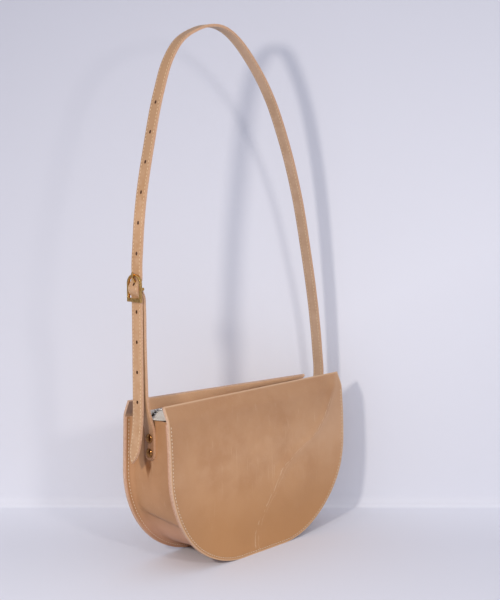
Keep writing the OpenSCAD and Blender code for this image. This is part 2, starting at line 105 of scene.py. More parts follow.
def roundEdges(bm, edges, width, steps=2):
    if edges:
        bmesh.ops.bevel(bm, geom=edges, offset=width, offset_type="OFFSET", segments=steps, profile=0.5,
                        affect="EDGES", material=-1, clamp_overlap=True)


def sharpEdges(bm, degrees=35):
    limit = math.radians(degrees)
    return [e for e in bm.edges if len(e.link_faces) == 2 and e.calc_face_angle(0) > limit]


def rimEdges(bm):  # where the sides of a hide, with even materials, meet its cut edges, with odd ones
    return [e for e in bm.edges if len(e.link_faces) == 2
            and e.link_faces[0].material_index % 2 != e.link_faces[1].material_index % 2]


def turnFaces(bm, way, faces=None):  # makes the faces look that way
    bm.normal_update()
    if sum(f.normal.dot(way) for f in faces or bm.faces) < 0:
        bmesh.ops.reverse_faces(bm, faces=bm.faces[:])


def thicken(bm, thickness):  # the shell grows against its normals
    bmesh.ops.solidify(bm, geom=bm.faces[:], thickness=thickness)
    bm.normal_update()


def sweep(bm, geom, steps, move=(0, 0, 0), centre=(0, 0, 0), axis=(0, -1, 0), angle=0):
    made = bmesh.ops.spin(bm, geom=geom, cent=centre, axis=axis, dvec=Vector(move) / steps,
                          angle=math.radians(angle), steps=steps, use_merge=False, use_duplicate=False)
    return made["geom_last"]


# The straps follow lines that are drawn as seen from the front, across and up.


def unit(v):
    return v / v.length


def tangentAt(points, i):
    if i == 0:
        return unit(points[1] - points[0])
    if i == len(points) - 1:
        return unit(points[i] - points[i - 1])
    a, b = points[i] - points[i - 1], points[i + 1] - points[i]
    if abs(a.x) < 1e-9 or abs(b.x) < 1e-9:  # beside an upright stretch the line stays upright
        return Vector((0, math.copysign(1, b.y)))
    return unit(unit(a) * b.length + unit(b) * a.length)


def smoothLine(points, steps=10):
    points = [Vector(p) for p in points]
    line = []
    for i in range(len(points) - 1):
        way = points[i + 1] - points[i]
        a, b = tangentAt(points, i) * way.length, tangentAt(points, i + 1) * way.length
        for k in range(steps):
            t = k / steps
            line.append(points[i] + a * t + (3 * way - 2 * a - b) * t * t + (a + b - 2 * way) * t ** 3)
    return line + [points[-1]]


class Track:
    # a line that can be walked along: place, direction and left-hand normal at a distance
    def __init__(self, line):
        self.line = line
        self.reach = [0]
        for a, b in zip(line, line[1:]):
            self.reach.append(self.reach[-1] + (b - a).length)
        self.length = self.reach[-1]
        self.ways = [unit(line[min(i + 1, len(line) - 1)] - line[max(i - 1, 0)]) for i in range(len(line))]

    def at(self, s):
        low, high = 0, len(self.reach) - 2
        while low < high:
            middle = (low + high + 1) // 2
            if self.reach[middle] <= s:
                low = middle
            else:
                high = middle - 1
        t = (s - self.reach[low]) / (self.reach[low + 1] - self.reach[low])
        place = self.line[low].lerp(self.line[low + 1], t)
        way = unit(self.ways[low].lerp(self.ways[low + 1], min(max(t, 0), 1)))
        return place, way, Vector((-way.y, way.x))


def layAlong(bm, track, yAt):  # x becomes the distance along the track, y stays, z stands off it
    for v in bm.verts:
        place, _, normal = track.at(v.co.x)
        place = place + normal * v.co.z
        v.co = (place.x, v.co.y + yAt(v.co.x), place.y)


def paint(hexColour):  # an sRGB hex colour as linear values
    values = [int(hexColour[i:i + 2], 16) / 255 for i in (1, 3, 5)]
    return [c / 12.92 if c <= 0.04045 else ((c + 0.055) / 1.055) ** 2.4 for c in values] + [1]


def perMm(size):  # texture scale at which a feature has that size in mm, on Object coordinates
    return 1000 / size


def addNode(tree, kind, inputs=(), **settings):
    # inputs go by name or in the sockets' order, and a node among them stands for its first output in use
    made = tree.nodes.new("ShaderNode" + kind)
    for key, value in settings.items():
        setattr(made, key, value)
    for key, value in inputs.items() if isinstance(inputs, dict) else enumerate(inputs):
        if isinstance(value, bpy.types.Node):
            value = next(socket for socket in value.outputs if socket.enabled)
        if isinstance(value, bpy.types.NodeSocket):
            tree.links.new(value, made.inputs[key])
        else:
            made.inputs[key].default_value = value
    return made


def newMaterial(name):
    material = bpy.data.materials.new(name)
    material.use_nodes = True
    material.node_tree.nodes.clear()
    place = addNode(material.node_tree, "TexCoord").outputs["Object"]
    return material, material.node_tree, place


def finishMaterial(tree, inputs):
    addNode(tree, "OutputMaterial", {"Surface": addNode(tree, "BsdfPrincipled", inputs)})


soft = {"interpolation_type": "SMOOTHSTEP"}
colours = {"data_type": "RGBA"}
share, under, over = 0, 6, 7  # a Mix node's sockets when it mixes colours


def dye(tree, colour, dyed, value, span, amounts):
    # lays a colour over another, by an amount that eases from one to the next over the value's span
    amount = addNode(tree, "MapRange", (value, *span, *amounts), **soft)
    return addNode(tree, "Mix", {share: amount, under: colour, over: paint(dyed)}, **colours)


def millimetres(tree, place):  # x, y and z of a place on the piece, in mm
    scaled = addNode(tree, "VectorMath", {"Vector": place, "Scale": 1 / mm}, operation="SCALE")
    return addNode(tree, "SeparateXYZ", [scaled]).outputs


# The hide's long soft crease across the front panel, as places (x, z) in mm from its foot to its top end
hideCrease = [(-13.9, 10), (-10.2, 34), (0.4, 48), (12.8, 65), (21.2, 77), (29.6, 87), (39.8, 93),
              (50.9, 99.5), (64, 105.6), (79.4, 111.5), (99.7, 128), (113.3, 146)]

# Vegetable-tanned cowhide, undyed and smooth: warm tan with soft clouds, pores, a few light rubs, low satin
# gloss. Sizes and spans are in mm, and the pores are drawn coarser than real ones so that they show.
panelLeather = {
    # the darkest colour is painted shade: on the left end and in the stitch groove, and with the hide's tone
    # on the lip
    "tan": "#C3966D", "deep": "#B2835A", "pale": "#CBA482", "rub": "#DBBC9C", "hollow": "#9C7350",
    "cloudSize": 44, "cloudSpan": (0.32, 0.72), "clouded": 0.85,
    "mottleSize": 12, "mottleSpan": (0.38, 0.74), "mottled": 0.3,
    "rubWidth": 2.2, "rubLength": 45, "rubTurn": (0.2, 0.9, 0.4), "rubSpan": (0.64, 0.74), "rubs": 0.22,
    "grainSize": 1.3, "poreShare": 0.7, "relief": 0.12, "reliefStrength": 0.55,
    "roughness": 0.5, "glossSpan": (0.3, 0.8), "polished": 0.06, "dulled": 0.1, "ior": 1.45, "specular": 0.45,
    "panel": True, "riveted": False, "shades": (),  # shades are bands of painted shade and light: (heights, amounts at them, colour)
}
# darker than the panels as painted shade on the side walls
gussetLeather = dict(panelLeather, **{
    "tan": "#AD8059", "deep": "#A0744E", "pale": "#B58B67", "rubs": 0.1, "panel": False, "riveted": True,
    "shades": [((30, 62), (0.8, 0), "#C39376")],  # the foot, in the pink light that the floor throws back
})
strapLeather = dict(panelLeather, **{
    "tan": "#B8916D", "deep": "#A8805B", "pale": "#C2A081", "mottled": 0.5, "cloudSize": 38,
    "mottleSize": 6, "roughness": 0.46, "rubs": 0.25, "panel": False,
    "shades": [((370, 435), (0, 0.85), "#A58261")],  # painted shade, darker towards the crown
})
buckleStrapLeather = dict(strapLeather, shades=[((136, 168), (0.85, 0), "#7E5639")])  # painted shadow on its foot, under the strap's tail
liningLeather = dict(strapLeather, tan="#AF9076", deep="#A28367", pale="#B79A82", shades=())

# What use and sewing have done to the panels, and the painted light and shade on them. Spans are mm below
# the top, across, in from the edge or off the crease or the seam, and amounts go with their two ends.
panelWearAndLight = {
    "honey": "#B88450", "honeySpan": (60, 150), "honeyed": (0, 0.8),
    # the lip darker, partly the hide's tone and partly painted shade; the left end darker as painted shade
    "lipSpan": (10, 75), "lipToneAndShade": (0.45, 0), "leftShadeSpan": (-135, -65), "leftShade": (0.33, 0),
    # each fine line of the crease: how far off it, half its width, its strength and its breaks' size
    "creaseLines": ((0, 0.75, 0.65, 5), (5.5, 0.5, 0.4, 9)), "lineCore": 0.1, "breakSpan": (0.4, 0.52),
    "creaseTop": (24, 32), "wander": 9, "wanderSize": 14, "lineRelief": 1.5,
    # painted light on the right side of the crease
    "litAcross": (-2, 7), "litSpan": (40, 95), "litSide": (0.4, 0),
    # painted shade in the groove under the stitches
    "seamIn": 3, "groove": (0.3, 1.1), "grooveTop": (159, 161), "grooveShade": 0.25, "grooveRelief": -1.6,
    "rimSpan": (0.3, 2.2), "worn": (0.55, 0),
}

# Painted shadow that falls below the left rivets on the gusset: a dark streak, narrow at its foot
rivetShadow = {
    "colour": "#6A3A06", "strength": 0.9, "foot": 95, "full": 110, "top": 120, "y": 4.2,
    "halfWidths": (0.5, 6), "softEdge": (0.5, 1.15),
}


def offCrease(tree, x, z, away):  # sideways distance from the crease
    up = addNode(tree, "Math", (z, bag["height"]), operation="DIVIDE")
    curve = addNode(tree, "FloatCurve", {"Value": up})
    points = curve.mapping.curves[0].points
    while len(points) < len(hideCrease):
        points.new(0.5, 0.5)
    for point, (creaseX, creaseZ) in zip(points, hideCrease):
        point.location = (creaseZ / bag["height"], (creaseX + halfWidth) / bag["width"])
    curve.mapping.update()
    line = addNode(tree, "Math", (curve, bag["width"]), operation="MULTIPLY")
    off = addNode(tree, "Math", (x, line), operation="SUBTRACT")
    return addNode(tree, "Math", (off, halfWidth - away), operation="ADD")


def paintPanelWearAndLight(tree, look, place, colour, height):
    x, y, z = millimetres(tree, place)
    wearAndLight = panelWearAndLight
    # distance in from the D-shaped edge, and down from the top
    across = addNode(tree, "Math", [x], operation="ABSOLUTE")
    across = addNode(tree, "Math", (across, flatHalf), operation="SUBTRACT")
    across = addNode(tree, "Math", (across, 0), operation="MAXIMUM")
    down = addNode(tree, "Math", (bag["cornerRadius"], z), operation="SUBTRACT")
    down = addNode(tree, "Math", (down, 0), operation="MAXIMUM")
    corner = addNode(tree, "CombineXYZ", (across, down))
    reach = addNode(tree, "VectorMath", [corner], operation="LENGTH")
    inwards = addNode(tree, "Math", (bag["cornerRadius"], reach), operation="SUBTRACT")
    below = addNode(tree, "Math", (bag["height"], z), operation="SUBTRACT")
    # the lower half grows honey brown; the lip grows darker, partly the hide's tone and partly painted shade
    # where it leans away from the light, and the left end is darker as painted shade
    colour = dye(tree, colour, wearAndLight["honey"], below, wearAndLight["honeySpan"], wearAndLight["honeyed"])
    colour = dye(tree, colour, look["hollow"], below, wearAndLight["lipSpan"], wearAndLight["lipToneAndShade"])
    colour = dye(tree, colour, look["hollow"], x, wearAndLight["leftShadeSpan"], wearAndLight["leftShade"])
    # the crease: painted light on its right side, and two fine broken lines
    onFront = addNode(tree, "Math", (y, 0), operation="LESS_THAN")
    wander = addNode(tree, "TexNoise", {"Vector": place, "Scale": perMm(wearAndLight["wanderSize"]), "Detail": 3})
    wander = addNode(tree, "Math", (wander, 0.5), operation="SUBTRACT")
    wander = addNode(tree, "Math", (wander, wearAndLight["wander"]), operation="MULTIPLY")
    lines = 0
    for away, half, strength, size in wearAndLight["creaseLines"]:
        off = addNode(tree, "Math", (offCrease(tree, x, z, away), wander), operation="ADD")
        off = addNode(tree, "Math", [off], operation="ABSOLUTE")
        breaks = addNode(tree, "TexNoise", {"Vector": place, "Scale": perMm(size), "Detail": 3})
        breaks = addNode(tree, "MapRange", (breaks, *wearAndLight["breakSpan"], 0, strength), **soft)
        line = addNode(tree, "MapRange", (off, wearAndLight["lineCore"], half, breaks, 0), **soft)
        lines = addNode(tree, "Math", (line, lines), operation="MAXIMUM")
    lines = addNode(tree, "Math", (lines, onFront), operation="MULTIPLY")
    lines = addNode(tree, "MapRange", (below, *wearAndLight["creaseTop"], 0, lines), **soft)
    litSide = addNode(tree, "MapRange", (below, *wearAndLight["litSpan"], *wearAndLight["litSide"]), **soft)
    litSide = addNode(tree, "Math", (litSide, onFront), operation="MULTIPLY")
    rightOf = offCrease(tree, x, z, 0)
    colour = dye(tree, colour, look["pale"], rightOf, wearAndLight["litAcross"], (0, litSide))
    colour = addNode(tree, "Mix", {share: lines, under: colour, over: paint(look["rub"])}, **colours)
    # a shallow groove under the stitches with painted shade in it, and a pale rim along the edges and the top
    offSeam = addNode(tree, "Math", (inwards, wearAndLight["seamIn"]), operation="SUBTRACT")
    offSeam = addNode(tree, "Math", [offSeam], operation="ABSOLUTE")
    groove = addNode(tree, "MapRange", (z, *wearAndLight["grooveTop"], 1, 0), **soft)
    groove = addNode(tree, "MapRange", (offSeam, *wearAndLight["groove"], groove, 0), **soft)
    grooveShade = addNode(tree, "Math", (groove, wearAndLight["grooveShade"]), operation="MULTIPLY")
    colour = addNode(tree, "Mix", {share: grooveShade, under: colour, over: paint(look["hollow"])}, **colours)
    rim = addNode(tree, "Math", (inwards, below), operation="MINIMUM")
    colour = dye(tree, colour, look["rub"], rim, wearAndLight["rimSpan"], wearAndLight["worn"])
    height = addNode(tree, "Math", (groove, wearAndLight["grooveRelief"], height), operation="MULTIPLY_ADD")
    height = addNode(tree, "Math", (lines, wearAndLight["lineRelief"], height), operation="MULTIPLY_ADD")
    return colour, height


def shadowBelowRivets(tree, place, colour):
    x, y, z = millimetres(tree, place)
    shadow = rivetShadow
    # painted shadow, on the left wall only
    onLeft = addNode(tree, "Math", (x, 0), operation="LESS_THAN")
    strength = addNode(tree, "MapRange", (z, shadow["foot"], shadow["full"], 0, shadow["strength"]), **soft)
    strength = addNode(tree, "Math", (strength, onLeft), operation="MULTIPLY")
    half = addNode(tree, "MapRange", (z, shadow["foot"], shadow["top"], *shadow["halfWidths"]), **soft)
    off = addNode(tree, "Math", (y, shadow["y"]), operation="SUBTRACT")
    off = addNode(tree, "Math", [off], operation="ABSOLUTE")
    off = addNode(tree, "Math", (off, half), operation="DIVIDE")
    return dye(tree, colour, shadow["colour"], off, shadow["softEdge"], (strength, 0))


def grainLeather(name, look):  # the hide's smooth side
    material, tree, place = newMaterial(name)
    clouds = addNode(tree, "TexNoise", {"Vector": place, "Scale": perMm(look["cloudSize"]), "Detail": 3})
    mottle = addNode(tree, "TexNoise", {"Vector": place, "Scale": perMm(look["mottleSize"]), "Detail": 5,
                                        "Roughness": 0.6})
    colour = dye(tree, paint(look["tan"]), look["deep"], clouds, look["cloudSpan"], (0, look["clouded"]))
    colour = dye(tree, colour, look["pale"], mottle, look["mottleSpan"], (0, look["mottled"]))
    # light rubs: long thin strokes, stretched along the hide
    width, length = perMm(look["rubWidth"]), perMm(look["rubLength"])
    stretched = addNode(tree, "Mapping", {"Vector": place, "Rotation": look["rubTurn"],
                                          "Scale": (width, width, length)})
    strokes = addNode(tree, "TexNoise", {"Vector": stretched, "Scale": 1, "Detail": 2})
    colour = dye(tree, colour, look["rub"], strokes, look["rubSpan"], (0, look["rubs"]))
    # grain and pores
    grain = addNode(tree, "TexVoronoi", {"Vector": place, "Scale": perMm(look["grainSize"])}, feature="F1")
    poreSize = look["grainSize"] * look["poreShare"]
    pores = addNode(tree, "TexNoise", {"Vector": place, "Scale": perMm(poreSize), "Detail": 3})
    height = addNode(tree, "Math", (grain, pores), operation="ADD")
    if look["panel"]:
        colour, height = paintPanelWearAndLight(tree, look, place, colour, height)
    # painted shadow below the left rivets
    if look["riveted"]:
        colour = shadowBelowRivets(tree, place, colour)
    for heights, amounts, shade in look["shades"]:
        colour = dye(tree, colour, shade, millimetres(tree, place)["Z"], heights, amounts)
    rough = (look["roughness"] - look["polished"], look["roughness"] + look["dulled"])
    gloss = addNode(tree, "MapRange", (mottle, *look["glossSpan"], *rough), **soft)
    bump = addNode(tree, "Bump", {"Height": height, "Distance": look["relief"] * mm,
                                  "Strength": look["reliefStrength"]})
    finishMaterial(tree, {"Base Color": colour, "Roughness": gloss, "Normal": bump, "IOR": look["ior"],
                          "Specular IOR Level": look["specular"]})
    return material


# Raw cut edges are pale, dry and fibrous. The walls of punched holes are painted dark as the shade inside
# the holes. Waxed linen thread is cream and twisted, with a slight gloss of wax.
cutEdge = {"size": 1.6, "detail": 5, "coarse": 0.7, "span": (0.35, 0.7), "relief": (0.2, 0.8), "rough": 0.85}
punched = {"size": 0.8, "detail": 3, "coarse": 0.5, "span": (0, 1), "relief": None, "rough": 0.6}
waxedLinen = {"size": 1.2, "detail": 3, "coarse": 0.5, "span": (0, 1), "relief": (0.15, 0.6), "rough": 0.55}


def speckled(name, look, light, dark):  # one fine noise gives both the colour's specks and the relief
    material, tree, place = newMaterial(name)
    specks = addNode(tree, "TexNoise", {"Vector": place, "Scale": perMm(look["size"]),
                                        "Detail": look["detail"], "Roughness": look["coarse"]})
    spots = addNode(tree, "MapRange", (specks, *look["span"]))
    colour = addNode(tree, "Mix", {share: spots, under: paint(light), over: paint(dark)}, **colours)
    inputs = {"Base Color": colour, "Roughness": look["rough"]}
    if look["relief"]:
        depth, strength = look["relief"]
        bump = addNode(tree, "Bump", {"Height": specks, "Distance": depth * mm, "Strength": strength})
        inputs["Normal"] = bump
    finishMaterial(tree, inputs)
    return material


# The hide's flesh side is shaved and pressed: matt, with a short nap. The lip's left corner gets painted
# shadow, where the strap shades it.
fleshSide = {
    "cloudSize": 30, "napSize": 1.1, "span": (0.75, 1.25), "relief": 0.25, "reliefStrength": 0.7,
    "roughness": 0.8, "sheen": 0.15, "cornerAcross": (-133, -124), "cornerUp": (156, 164), "cornerShadow": 0.9,
}


def fleshLeather(name, light, dark, corner=None):
    material, tree, place = newMaterial(name)
    look = fleshSide
    clouds = addNode(tree, "TexNoise", {"Vector": place, "Scale": perMm(look["cloudSize"]), "Detail": 4})
    nap = addNode(tree, "TexNoise", {"Vector": place, "Scale": perMm(look["napSize"]), "Detail": 4,
                                     "Roughness": 0.7})
    both = addNode(tree, "Math", (clouds, nap), operation="ADD")
    spots = addNode(tree, "MapRange", (both, *look["span"]))
    colour = addNode(tree, "Mix", {share: spots, under: paint(light), over: paint(dark)}, **colours)
    # painted shadow on the lip's left corner
    if corner:
        apart = millimetres(tree, place)
        cornerShadow = addNode(tree, "MapRange", (apart["Z"], *look["cornerUp"], 0, look["cornerShadow"]), **soft)
        colour = dye(tree, colour, corner, apart["X"], look["cornerAcross"], (cornerShadow, 0))
    bump = addNode(tree, "Bump", {"Height": nap, "Distance": look["relief"] * mm,
                                  "Strength": look["reliefStrength"]})
    finishMaterial(tree, {"Base Color": colour, "Normal": bump, "Roughness": look["roughness"],
                          "Sheen Weight": look["sheen"]})
    return material


# Cast and polished metal, bright with soft reflections, and with handling marks in its polish
polish = {
    "markSize": 2.5, "markSpan": (0.45, 0.75), "brighter": 0.06, "duller": 0.14,
    "scratchWidth": 0.5, "scratchLength": 7, "scratchTurn": (0.5, 0.3, 0.8), "relief": 0.02,
    "reliefStrength": 0.4,
}


def polishedMetal(name, bright, worn, roughness):
    material, tree, place = newMaterial(name)
    marks = addNode(tree, "TexNoise", {"Vector": place, "Scale": perMm(polish["markSize"]), "Detail": 5,
                                       "Roughness": 0.65})
    spots = addNode(tree, "MapRange", (marks, *polish["markSpan"]))
    colour = addNode(tree, "Mix", {share: spots, under: paint(bright), over: paint(worn)}, **colours)
    rough = (roughness - polish["brighter"], roughness + polish["duller"])
    gloss = addNode(tree, "MapRange", (marks, 0, 1, *rough))
    width, length = perMm(polish["scratchWidth"]), perMm(polish["scratchLength"])
    stretched = addNode(tree, "Mapping", {"Vector": place, "Rotation": polish["scratchTurn"],
                                          "Scale": (width, width, length)})
    scratches = addNode(tree, "TexNoise", {"Vector": stretched, "Scale": 1, "Detail": 2})
    bump = addNode(tree, "Bump", {"Height": scratches, "Distance": polish["relief"] * mm,
                                  "Strength": polish["reliefStrength"]})
    finishMaterial(tree, {"Base Color": colour, "Roughness": gloss, "Normal": bump, "Metallic": 1})
    return material


# Cotton zip tape in a plain weave of fine ribs: pale, matt and a little soiled
cottonTape = {
    "light": "#ECE8E0", "dark": "#C4BDB2", "ribs": 0.5731, "crossRibs": 0.7004, "uneven": 0.6,
    "soilSize": 14, "soilSpan": (0.5, 0.8), "soiled": 0.35, "relief": 0.2, "reliefStrength": 0.8,
    "roughness": 0.9, "sheen": 0.2,
}
waveLength = 2 * math.pi / 20  # distance between the bands of a wave texture at scale 1


def wovenTape(name, look):
    material, tree, place = newMaterial(name)
    weave = 1
    for size, direction in ((look["ribs"], "Y"), (look["crossRibs"], "X")):
        ribs = addNode(tree, "TexWave", {"Vector": place, "Scale": perMm(size) * waveLength, "Detail": 1,
                                         "Distortion": look["uneven"]}, bands_direction=direction)
        weave = addNode(tree, "Math", (weave, ribs.outputs["Fac"]), operation="MULTIPLY")
    soil = addNode(tree, "TexNoise", {"Vector": place, "Scale": perMm(look["soilSize"]), "Detail": 3})
    soiled = addNode(tree, "MapRange", (soil, *look["soilSpan"], 0, look["soiled"]))
    light, dark = paint(look["light"]), paint(look["dark"])
    colour = addNode(tree, "Mix", {share: weave, under: dark, over: light}, **colours)
    colour = addNode(tree, "Mix", {share: soiled, under: colour, over: dark}, **colours)
    bump = addNode(tree, "Bump", {"Height": weave, "Distance": look["relief"] * mm,
                                  "Strength": look["reliefStrength"]})
    finishMaterial(tree, {"Base Color": colour, "Normal": bump, "Roughness": look["roughness"],
                          "Sheen Weight": look["sheen"]})
    return material


panelGrain = grainLeather("vegTannedPanelLeather", panelLeather)
gussetGrain = grainLeather("vegTannedGussetLeather", gussetLeather)
strapGrain = grainLeather("vegTannedStrapLeather", strapLeather)
buckleStrapGrain = grainLeather("vegTannedBuckleStrapLeather", buckleStrapLeather)
liningGrain = grainLeather("vegTannedLiningLeather", liningLeather)
panelCut = speckled("panelCutEdge", cutEdge, "#CAAB93", "#B28C73")
gussetCut = speckled("gussetCutEdge", cutEdge, "#C49C83", "#A97F66")
strapCut = speckled("strapCutEdge", cutEdge, "#D3AD8D", "#B48767")
# the last colour is the painted shadow on the lip's left corner
panelFlesh = fleshLeather("panelFleshSide", "#E8BC93", "#DAAC84", "#84685A")
# the flesh side's colour, darkened as painted shade for the gaps between the plies
strapFleshInShade = fleshLeather("strapFleshSideInShade", "#9A7C68", "#846552")
# painted shade on the holes' walls
shadedHoleWall = speckled("holeWallInShade", punched, "#70492D", "#4E321F")
creamThread = speckled("creamWaxedThread", waxedLinen, "#DCC6A6", "#C2A581")
paleThread = speckled("paleWaxedThread", waxedLinen, "#E6D4BB", "#CAB092")
brass = polishedMetal("polishedBrass", "#DDB16A", "#8F6534", 0.18)
agedBrass = polishedMetal("bronzedBrass", "#94683C", "#5E3D22", 0.16)
nickel = polishedMetal("brightNickel", "#D2D1CD", "#A9A8A4", 0.25)
tape = wovenTape("cottonZipTape", cottonTape)
print("materials made")

panelShape = {
    "columns": 84, "rows": 62, "cornerRowShare": 0.5, "crowding": 0.35, "edgeRound": 0.7,
    "bulge": 1.6, "bulgeIn": (8, 60), "bulgeUp": (165, 120),
    "waves": 0.55, "waveSize": 45, "wavesIn": (6, 25), "wavesApart": 40,  # so that the two panels differ
    "frontFold": 0.9, "foldWidth": 6, "foldUp": (60, 85), "foldIn": (3, 12),
    "backDroop": 8.5, "backLean": 2.0, "backSinks": (160, 177),
}


def lipShift(z):  # how far the panel has leant in at a height, with a soft bend
    slope, bend = bag["lipIn"] / bag["lipHeight"], bag["lipBend"]
    t = z - lipZ
    return slope * (t if t > bend else 0 if t < -bend else (t + bend) ** 2 / (4 * bend))


def creaseOff(x, z):  # distance sideways from the hide's crease
    for (xA, zA), (xB, zB) in zip(hideCrease, hideCrease[1:]):
        if z < zB or (xB, zB) == hideCrease[-1]:
            return (x - xA - (xB - xA) * (z - zA) / (zB - zA)) * (zB - zA) / math.hypot(xB - xA, zB - zA)


def panelY(x, z, side):  # outer face of a panel, as a half depth
    inside = edgeDistance(x, z)
    free = smooth(*panelShape["bulgeIn"], inside) * smooth(*panelShape["bulgeUp"], z)
    y = outerY(z, side) - lipShift(z) + panelShape["bulge"] * free
    waves = softNoise(x, side * panelShape["wavesApart"], z, panelShape["waveSize"])
    y += panelShape["waves"] * waves * smooth(*panelShape["wavesIn"], inside)
    if side < 0:
        fold = panelShape["frontFold"] * math.exp(-(creaseOff(x, z) / panelShape["foldWidth"]) ** 2)
        y += fold * smooth(*panelShape["foldUp"], z) * smooth(*panelShape["foldIn"], inside)
    return y


def makePanel(name, side, node):
    bm = bmesh.new()
    bmesh.ops.create_grid(bm, x_segments=panelShape["columns"], y_segments=panelShape["rows"], size=1)
    rowShare, crowding = panelShape["cornerRowShare"], panelShape["crowding"]
    radius = bag["cornerRadius"]
    for v in bm.verts:
        across, up = v.co.x, (v.co.y + 1) / 2
        # columns stand closer together towards the ends
        across = (1 - crowding) * across + crowding * math.sin(across * math.pi / 2)
        if up < rowShare:
            angle = up / rowShare * math.pi / 2
            reach, z = flatHalf + radius * math.sin(angle), radius * (1 - math.cos(angle))
        else:
            reach, z = halfWidth, radius + (up - rowShare) / (1 - rowShare) * (bag["height"] - radius)
        x = across * reach
        y = panelY(x, z, side)
        if side > 0:
            # the back panel's lip sinks and leans further in towards its right end
            sink = smooth(*panelShape["backSinks"], z) * (x + halfWidth) / bag["width"]
            z -= panelShape["backDroop"] * sink
            y -= panelShape["backLean"] * sink
        v.co = (x, side * y, z)
    turnFaces(bm, Vector((0, side, 0)))
    thicken(bm, bag["panelThickness"])
    for face in bm.faces:
        face.material_index = 1 if abs(face.normal.y) < 0.5 else 0 if face.normal.y * side > 0 else 2
    roundEdges(bm, rimEdges(bm), panelShape["edgeRound"])
    finishPiece(name, bm, "bag", [panelGrain, panelCut, panelFlesh], [node])


makePanel("frontPanel", -1, "front_panel")
makePanel("backPanel", 1, "back_panel")
print("panels made")

gussetShape = {
    "foldRadius": 6.0, "foldSteps": 5, "cornerSteps": 34, "sideSteps": 12, "baseSteps": 12, "depthCuts": 17,
    "edgeRound": 0.6, "waves": 0.5, "waveSize": 30, "wavesUp": (112, 95),
    "heldAtFront": 10, "heldAtBack": 2.5,  # the higher, the closer to the seam the wall still bends
    # the crease in each lower corner: degrees round from the corner's start, its lean and its half width,
    # then how far the wall stands out above it and in below it
    "creaseAngle": 33, "creaseLean": 5, "creaseHalf": 2.5, "rightCrease": 0.5,
    "creaseOut": 2.0, "outFades": 15, "creaseIn": 5.5, "inFrom": 6, "inFades": 14,
    # the narrow dent that the riveted strap pulls into the wall
    "rivetDent": 3.2, "dentFoot": 96, "dentTop": 117, "dentFull": 112,
    "dentY": 3, "dentTip": 1, "dentSpread": 4.5,
}
gussetTop = lipZ - bag["gussetThickness"]
flangeMiddle = bag["panelThickness"] + bag["plyGap"] + bag["gussetThickness"] / 2
wallMiddle = bag["seamWidth"] + bag["gussetThickness"] / 2


def gussetBend(x, y, z):  # how far the wall stands out at a place
    shape = gussetShape
    t = y / (outerY(z, y) - flangeMiddle)
    free = 1 - min(abs(t), 1) ** (shape["heldAtFront"] if t < 0 else shape["heldAtBack"])
    out = shape["waves"] * softNoise(x, y, z, shape["waveSize"]) * smooth(*shape["wavesUp"], z)
    if z < bag["cornerRadius"]:
        down = math.degrees(math.atan2(bag["cornerRadius"] - z, max(abs(x) - flatHalf, 0.001)))
        strength = 1 if x < 0 else shape["rightCrease"]
        past = down - (shape["creaseAngle"] - shape["creaseLean"] * t)
        fold = smooth(-shape["creaseHalf"], shape["creaseHalf"], past)
        above = shape["creaseOut"]
        if past < 0:
            above *= math.exp(-(past / shape["outFades"]) ** 2)
        below = -shape["creaseIn"] * math.exp(-(max(past - shape["inFrom"], 0) / shape["inFades"]) ** 2)
        out += strength * (above * (1 - fold) + below * fold)
    if x < 0 and shape["dentFoot"] < z < shape["dentTop"]:
        up = (z - shape["dentFoot"]) / (shape["dentTop"] - shape["dentFoot"])
        width = shape["dentTip"] + shape["dentSpread"] * up
        dent = shape["rivetDent"] * up * smooth(shape["dentTop"], shape["dentFull"], z)
        out -= dent * math.exp(-((y - shape["dentY"]) / width) ** 2)
    return out * free


